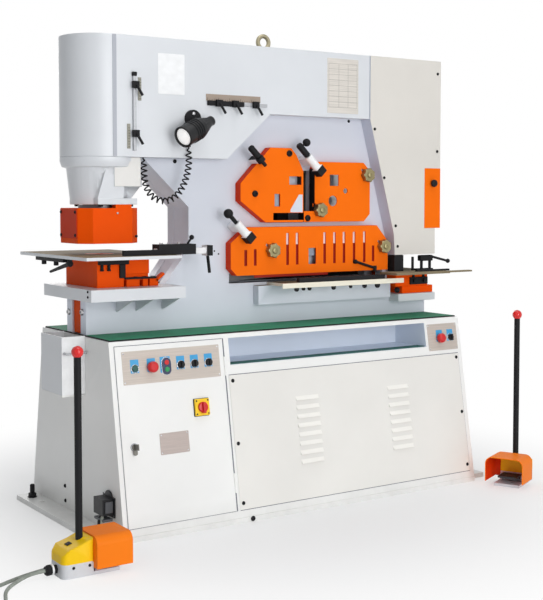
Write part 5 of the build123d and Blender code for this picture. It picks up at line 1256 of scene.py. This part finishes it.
thread = 0.0078
grip = [hold_rod(ball_screw, 0.1005, 0.145, 0.0085, 0.001), ball(on_hold(ball_screw, 0.152), 0.0190)]
stem = [hold_rod(ball_screw, -0.004, 0.101, thread)]
hold_screw(ball_screw, "holddown_ball_screw", (black_oxide, grip), (bright_steel, stem))
side_ball = Vector((0.132, hold_y, 1.440))
grip = [hold_grip(bar_screw, 0.1005, 0.167, 0.0135), ball(side_ball, 0.0165)]
grip.append(rod(on_hold(bar_screw, 0.150), side_ball, 0.0045))
stem = [hold_rod(bar_screw, -0.004, 0.101, thread)]
hold_screw(bar_screw, "holddown_bar_screw", (black_oxide, grip), (bright_steel, stem))
grip = [hold_rod(short_screw, -0.004, 0.043, thread), hold_grip(short_screw, 0.0425, 0.101, 0.0135)]
hold_screw(short_screw, "holddown_short_screw", (black_oxide, grip))


# Flat-bar table: a bare plate on a painted bolster with a black fence along it and small
# black clamp knobs under its front edge. A black strip inlaid in the top under the
# guard is painted shadow for the gap there.
def flat_finish(centre, normal):
    """Bolster painted, top bare, edge cream and fence black."""
    if centre.z > 0.8725:
        return 2
    if centre.z < 0.8595:
        return 0
    return 1 if normal.z > 0.5 else 3


edge_cream = sprayed_paint("edge_cream", tone(240, 234, 216), 0.42)
softened("flat_table", 0.001, [frame_paint, table_steel, black_oxide, edge_cream], flat_finish)
flat_top = 0.8722
knob_z = 0.847
small, middle, large = 0.007, 0.008, 0.010
knob_row = (
    (0.042, large), (0.076, small), (0.106, middle), (0.228, large), (0.316, small), (0.390, large),
    (0.459, 0.012),
)
# Black strip flush in the table top under the guard: painted shadow.
dark = [slab((-0.018, -0.172, flat_top), (0.526, -0.152, 0.8732), 0.0003)]
dark += [rod((x, -0.2160, knob_z), (x, -0.2050, knob_z), radius, 0.002) for x, radius in knob_row]
front_edge = slab((-0.030, -0.2170, 0.852), (0.599, -0.2145, flat_top), 0.0008)
assembled("flat_table_knobs", "black_steel", (black_oxide, dark), (edge_cream, [front_edge]))

# Notcher: a small bare table on orange die blocks and a painted shelf, with a black stop
# block, a stop pin and clamp levers on top and a black bracket on the die.
softened("notch_table", 0.001, [table_steel])
softened("notch_die", 0.0018, [body_paint, block_paint], lambda centre, normal: centre.z >= 0.7975)
notch_top = 0.896
clamp_y = -0.126
die_front = -0.145
bracket_front = die_front - 0.009
stud_y = die_front - 0.004
stops = [slab((0.600, -0.152, notch_top), (0.652, -0.104, 0.966), 0.003)]
stops.append(rod((0.723, -0.128, notch_top), (0.723, -0.128, 0.956), 0.006))
stops.append(slab((0.741, -0.140, notch_top), (0.833, -0.112, 0.9035), 0.001))
stops += [rod((x, clamp_y, 0.903), (x, clamp_y, 0.948), 0.0065) for x in (0.776, 0.824)]
stops.append(slab((0.762, -0.138, 0.936), (0.834, -0.114, 0.962), 0.004))
stops.append(rod((0.832, clamp_y, 0.955), (0.930, clamp_y, 0.932), 0.0055))
stops.append(ball((0.932, clamp_y, 0.932), 0.010))
stops.append(slab((0.690, bracket_front, 0.836), (0.790, die_front, 0.868), 0.002))
for x in (0.712, 0.768):
    stops.append(hexagon(0.017, 0.009, outward(x, bracket_front, 0.852)))
    stops.append(rod((x, stud_y, 0.868), (x, stud_y, 0.884), 0.0055))
stops.append(slab((0.676, -0.216, 0.8955), (0.862, -0.2008, 0.9035), 0.001))
stops.append(ball((0.612, -0.156, 0.816), 0.0125))
assembled("notcher_stops", "black_steel", (black_oxide, stops))

# Foot pedals: grey cast cases with yellow covers, orange hoods over the treadles, and a
# black lifting rod with a red ball on each.
case_grey = sprayed_paint("case_grey", tone(214, 216, 220), 0.5)
cover_yellow = sprayed_paint("cover_yellow", tone(255, 208, 8), 0.45, gloss=0.2)
ball_red = moulded("ball_red", tone(222, 26, 24), 0.2)
hood_paint = sprayed_paint("hood_paint", tone(255, 130, 20), 0.5, gloss=0.12)
pedal_frames = (
    Matrix.Translation((-1.170, -0.600, 0)),
    Matrix.Translation((1.048, -0.480, 0)) @ Matrix.Rotation(math.radians(206), 4, "Z"),
)
case_top = 0.0463
half_case = 0.055


def in_pedal(place):
    """A place in the frame of the pedal that it is on, and that frame."""
    at = pedal_frames[0 if place.x < 0 else 1]
    return at.inverted() @ place, at


def pedal_finish(centre, normal):
    """Case grey, cover yellow, rod and gland black, ball red."""
    local, _ = in_pedal(centre)
    if local.z > 0.690:
        return 3
    if local.x < -0.0005 or local.z > 0.124:
        return 2
    return 1 if local.z > case_top else 0


def nose_edge(place):
    """True on the upright corners of a pedal's case and cover at the cable end."""
    local, _ = in_pedal(place)
    return abs(local.y) > 0.050 and abs(local.x) < 0.002 and local.z > 0.001


def cover_edge(place):
    """True on the upper rim of a pedal's cover, which is moulded round."""
    local, _ = in_pedal(place)
    return local.z > 0.055 and (abs(local.y) > 0.050 and local.x < 0.107 or -0.0005 < local.x < 0.025)


def hood_finish(centre, normal):
    """True on the inside of a hood, which takes the darker orange as painted shade."""
    local, at = in_pedal(centre)
    turn = at.to_3x3().inverted() @ normal
    inside = turn.y * local.y < -0.02 or turn.z < -0.5 or turn.x > 0.5 and local.x < 0.120
    return inside and local.x > 0.108


softened(
    "pedal_bases", 0.002, [case_grey, cover_yellow, black_oxide, ball_red], pedal_finish,
    cut=(0, 0, case_top), rounded=((0.024, nose_edge), (0.010, cover_edge)),
)
# The hoods' insides take the darker orange: painted shade.
softened("pedal_hoods", 0.0014, [hood_paint, fold_shade_orange], hood_finish)
treadle_tread = ribbed_rubber("treadle_tread", tone(52, 53, 56), 110)
gland_height = 0.024
collar_outline = [(0.0145, 0), (0.0175, 0), (0.0175, 0.006), (0.0145, 0.006), (0.0145, 0)]
for number, (node, at) in enumerate(zip(("treadle_left", "treadle_right"), pedal_frames), start=1):
    softened(node, 0.001, [treadle_tread])
    collar = turned(collar_outline, 28, at @ leftward(-0.012, 0, gland_height))
    slope = at @ Matrix.Translation((0.042, 0, 0.0985)) @ Matrix.Rotation(math.radians(-17), 4, "Y")
    dark = [hexagon(0.032, 0.014, at @ leftward(-0.020, 0, gland_height))]
    dark.append(slab((-0.009, -0.012, 0), (0.009, 0.012, 0.0018), 0.0004, slope))
    for side in (-1, 1):
        sunk = [at @ along((x, side * 0.0549, 0.034), (0, side, 0)) for x in (0.036, 0.092)]
        dark += screws(0.005, 0.003, sunk)
    wall_yellow = slab((0.1100, -half_case, case_top), (0.1112, half_case, 0.121), 0.0004, at)
    wall_grey = slab((0.1100, -half_case, 0.026), (0.1112, half_case, case_top), 0.0004, at)
    walls = ((cover_yellow, [wall_yellow]), (case_grey, [wall_grey]))
    assembled(f"pedal_gland_{number}", "black_steel", (black_oxide, dark), (plate_white, [collar]), *walls)

# Inside the cabinet: a painted oil tank with its motor and pump, and a zinc plate with
# two rows of black contactors.
plain("hydraulic_tank", body_paint)
plain("pump_motor", sprayed_paint("motor_paint", tone(88, 104, 122), 0.45))
gear_front = -0.194
softened("electric_panel", 0.001, [plate_grey, switch_black], lambda centre, normal: centre.y < gear_front)

low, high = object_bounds()
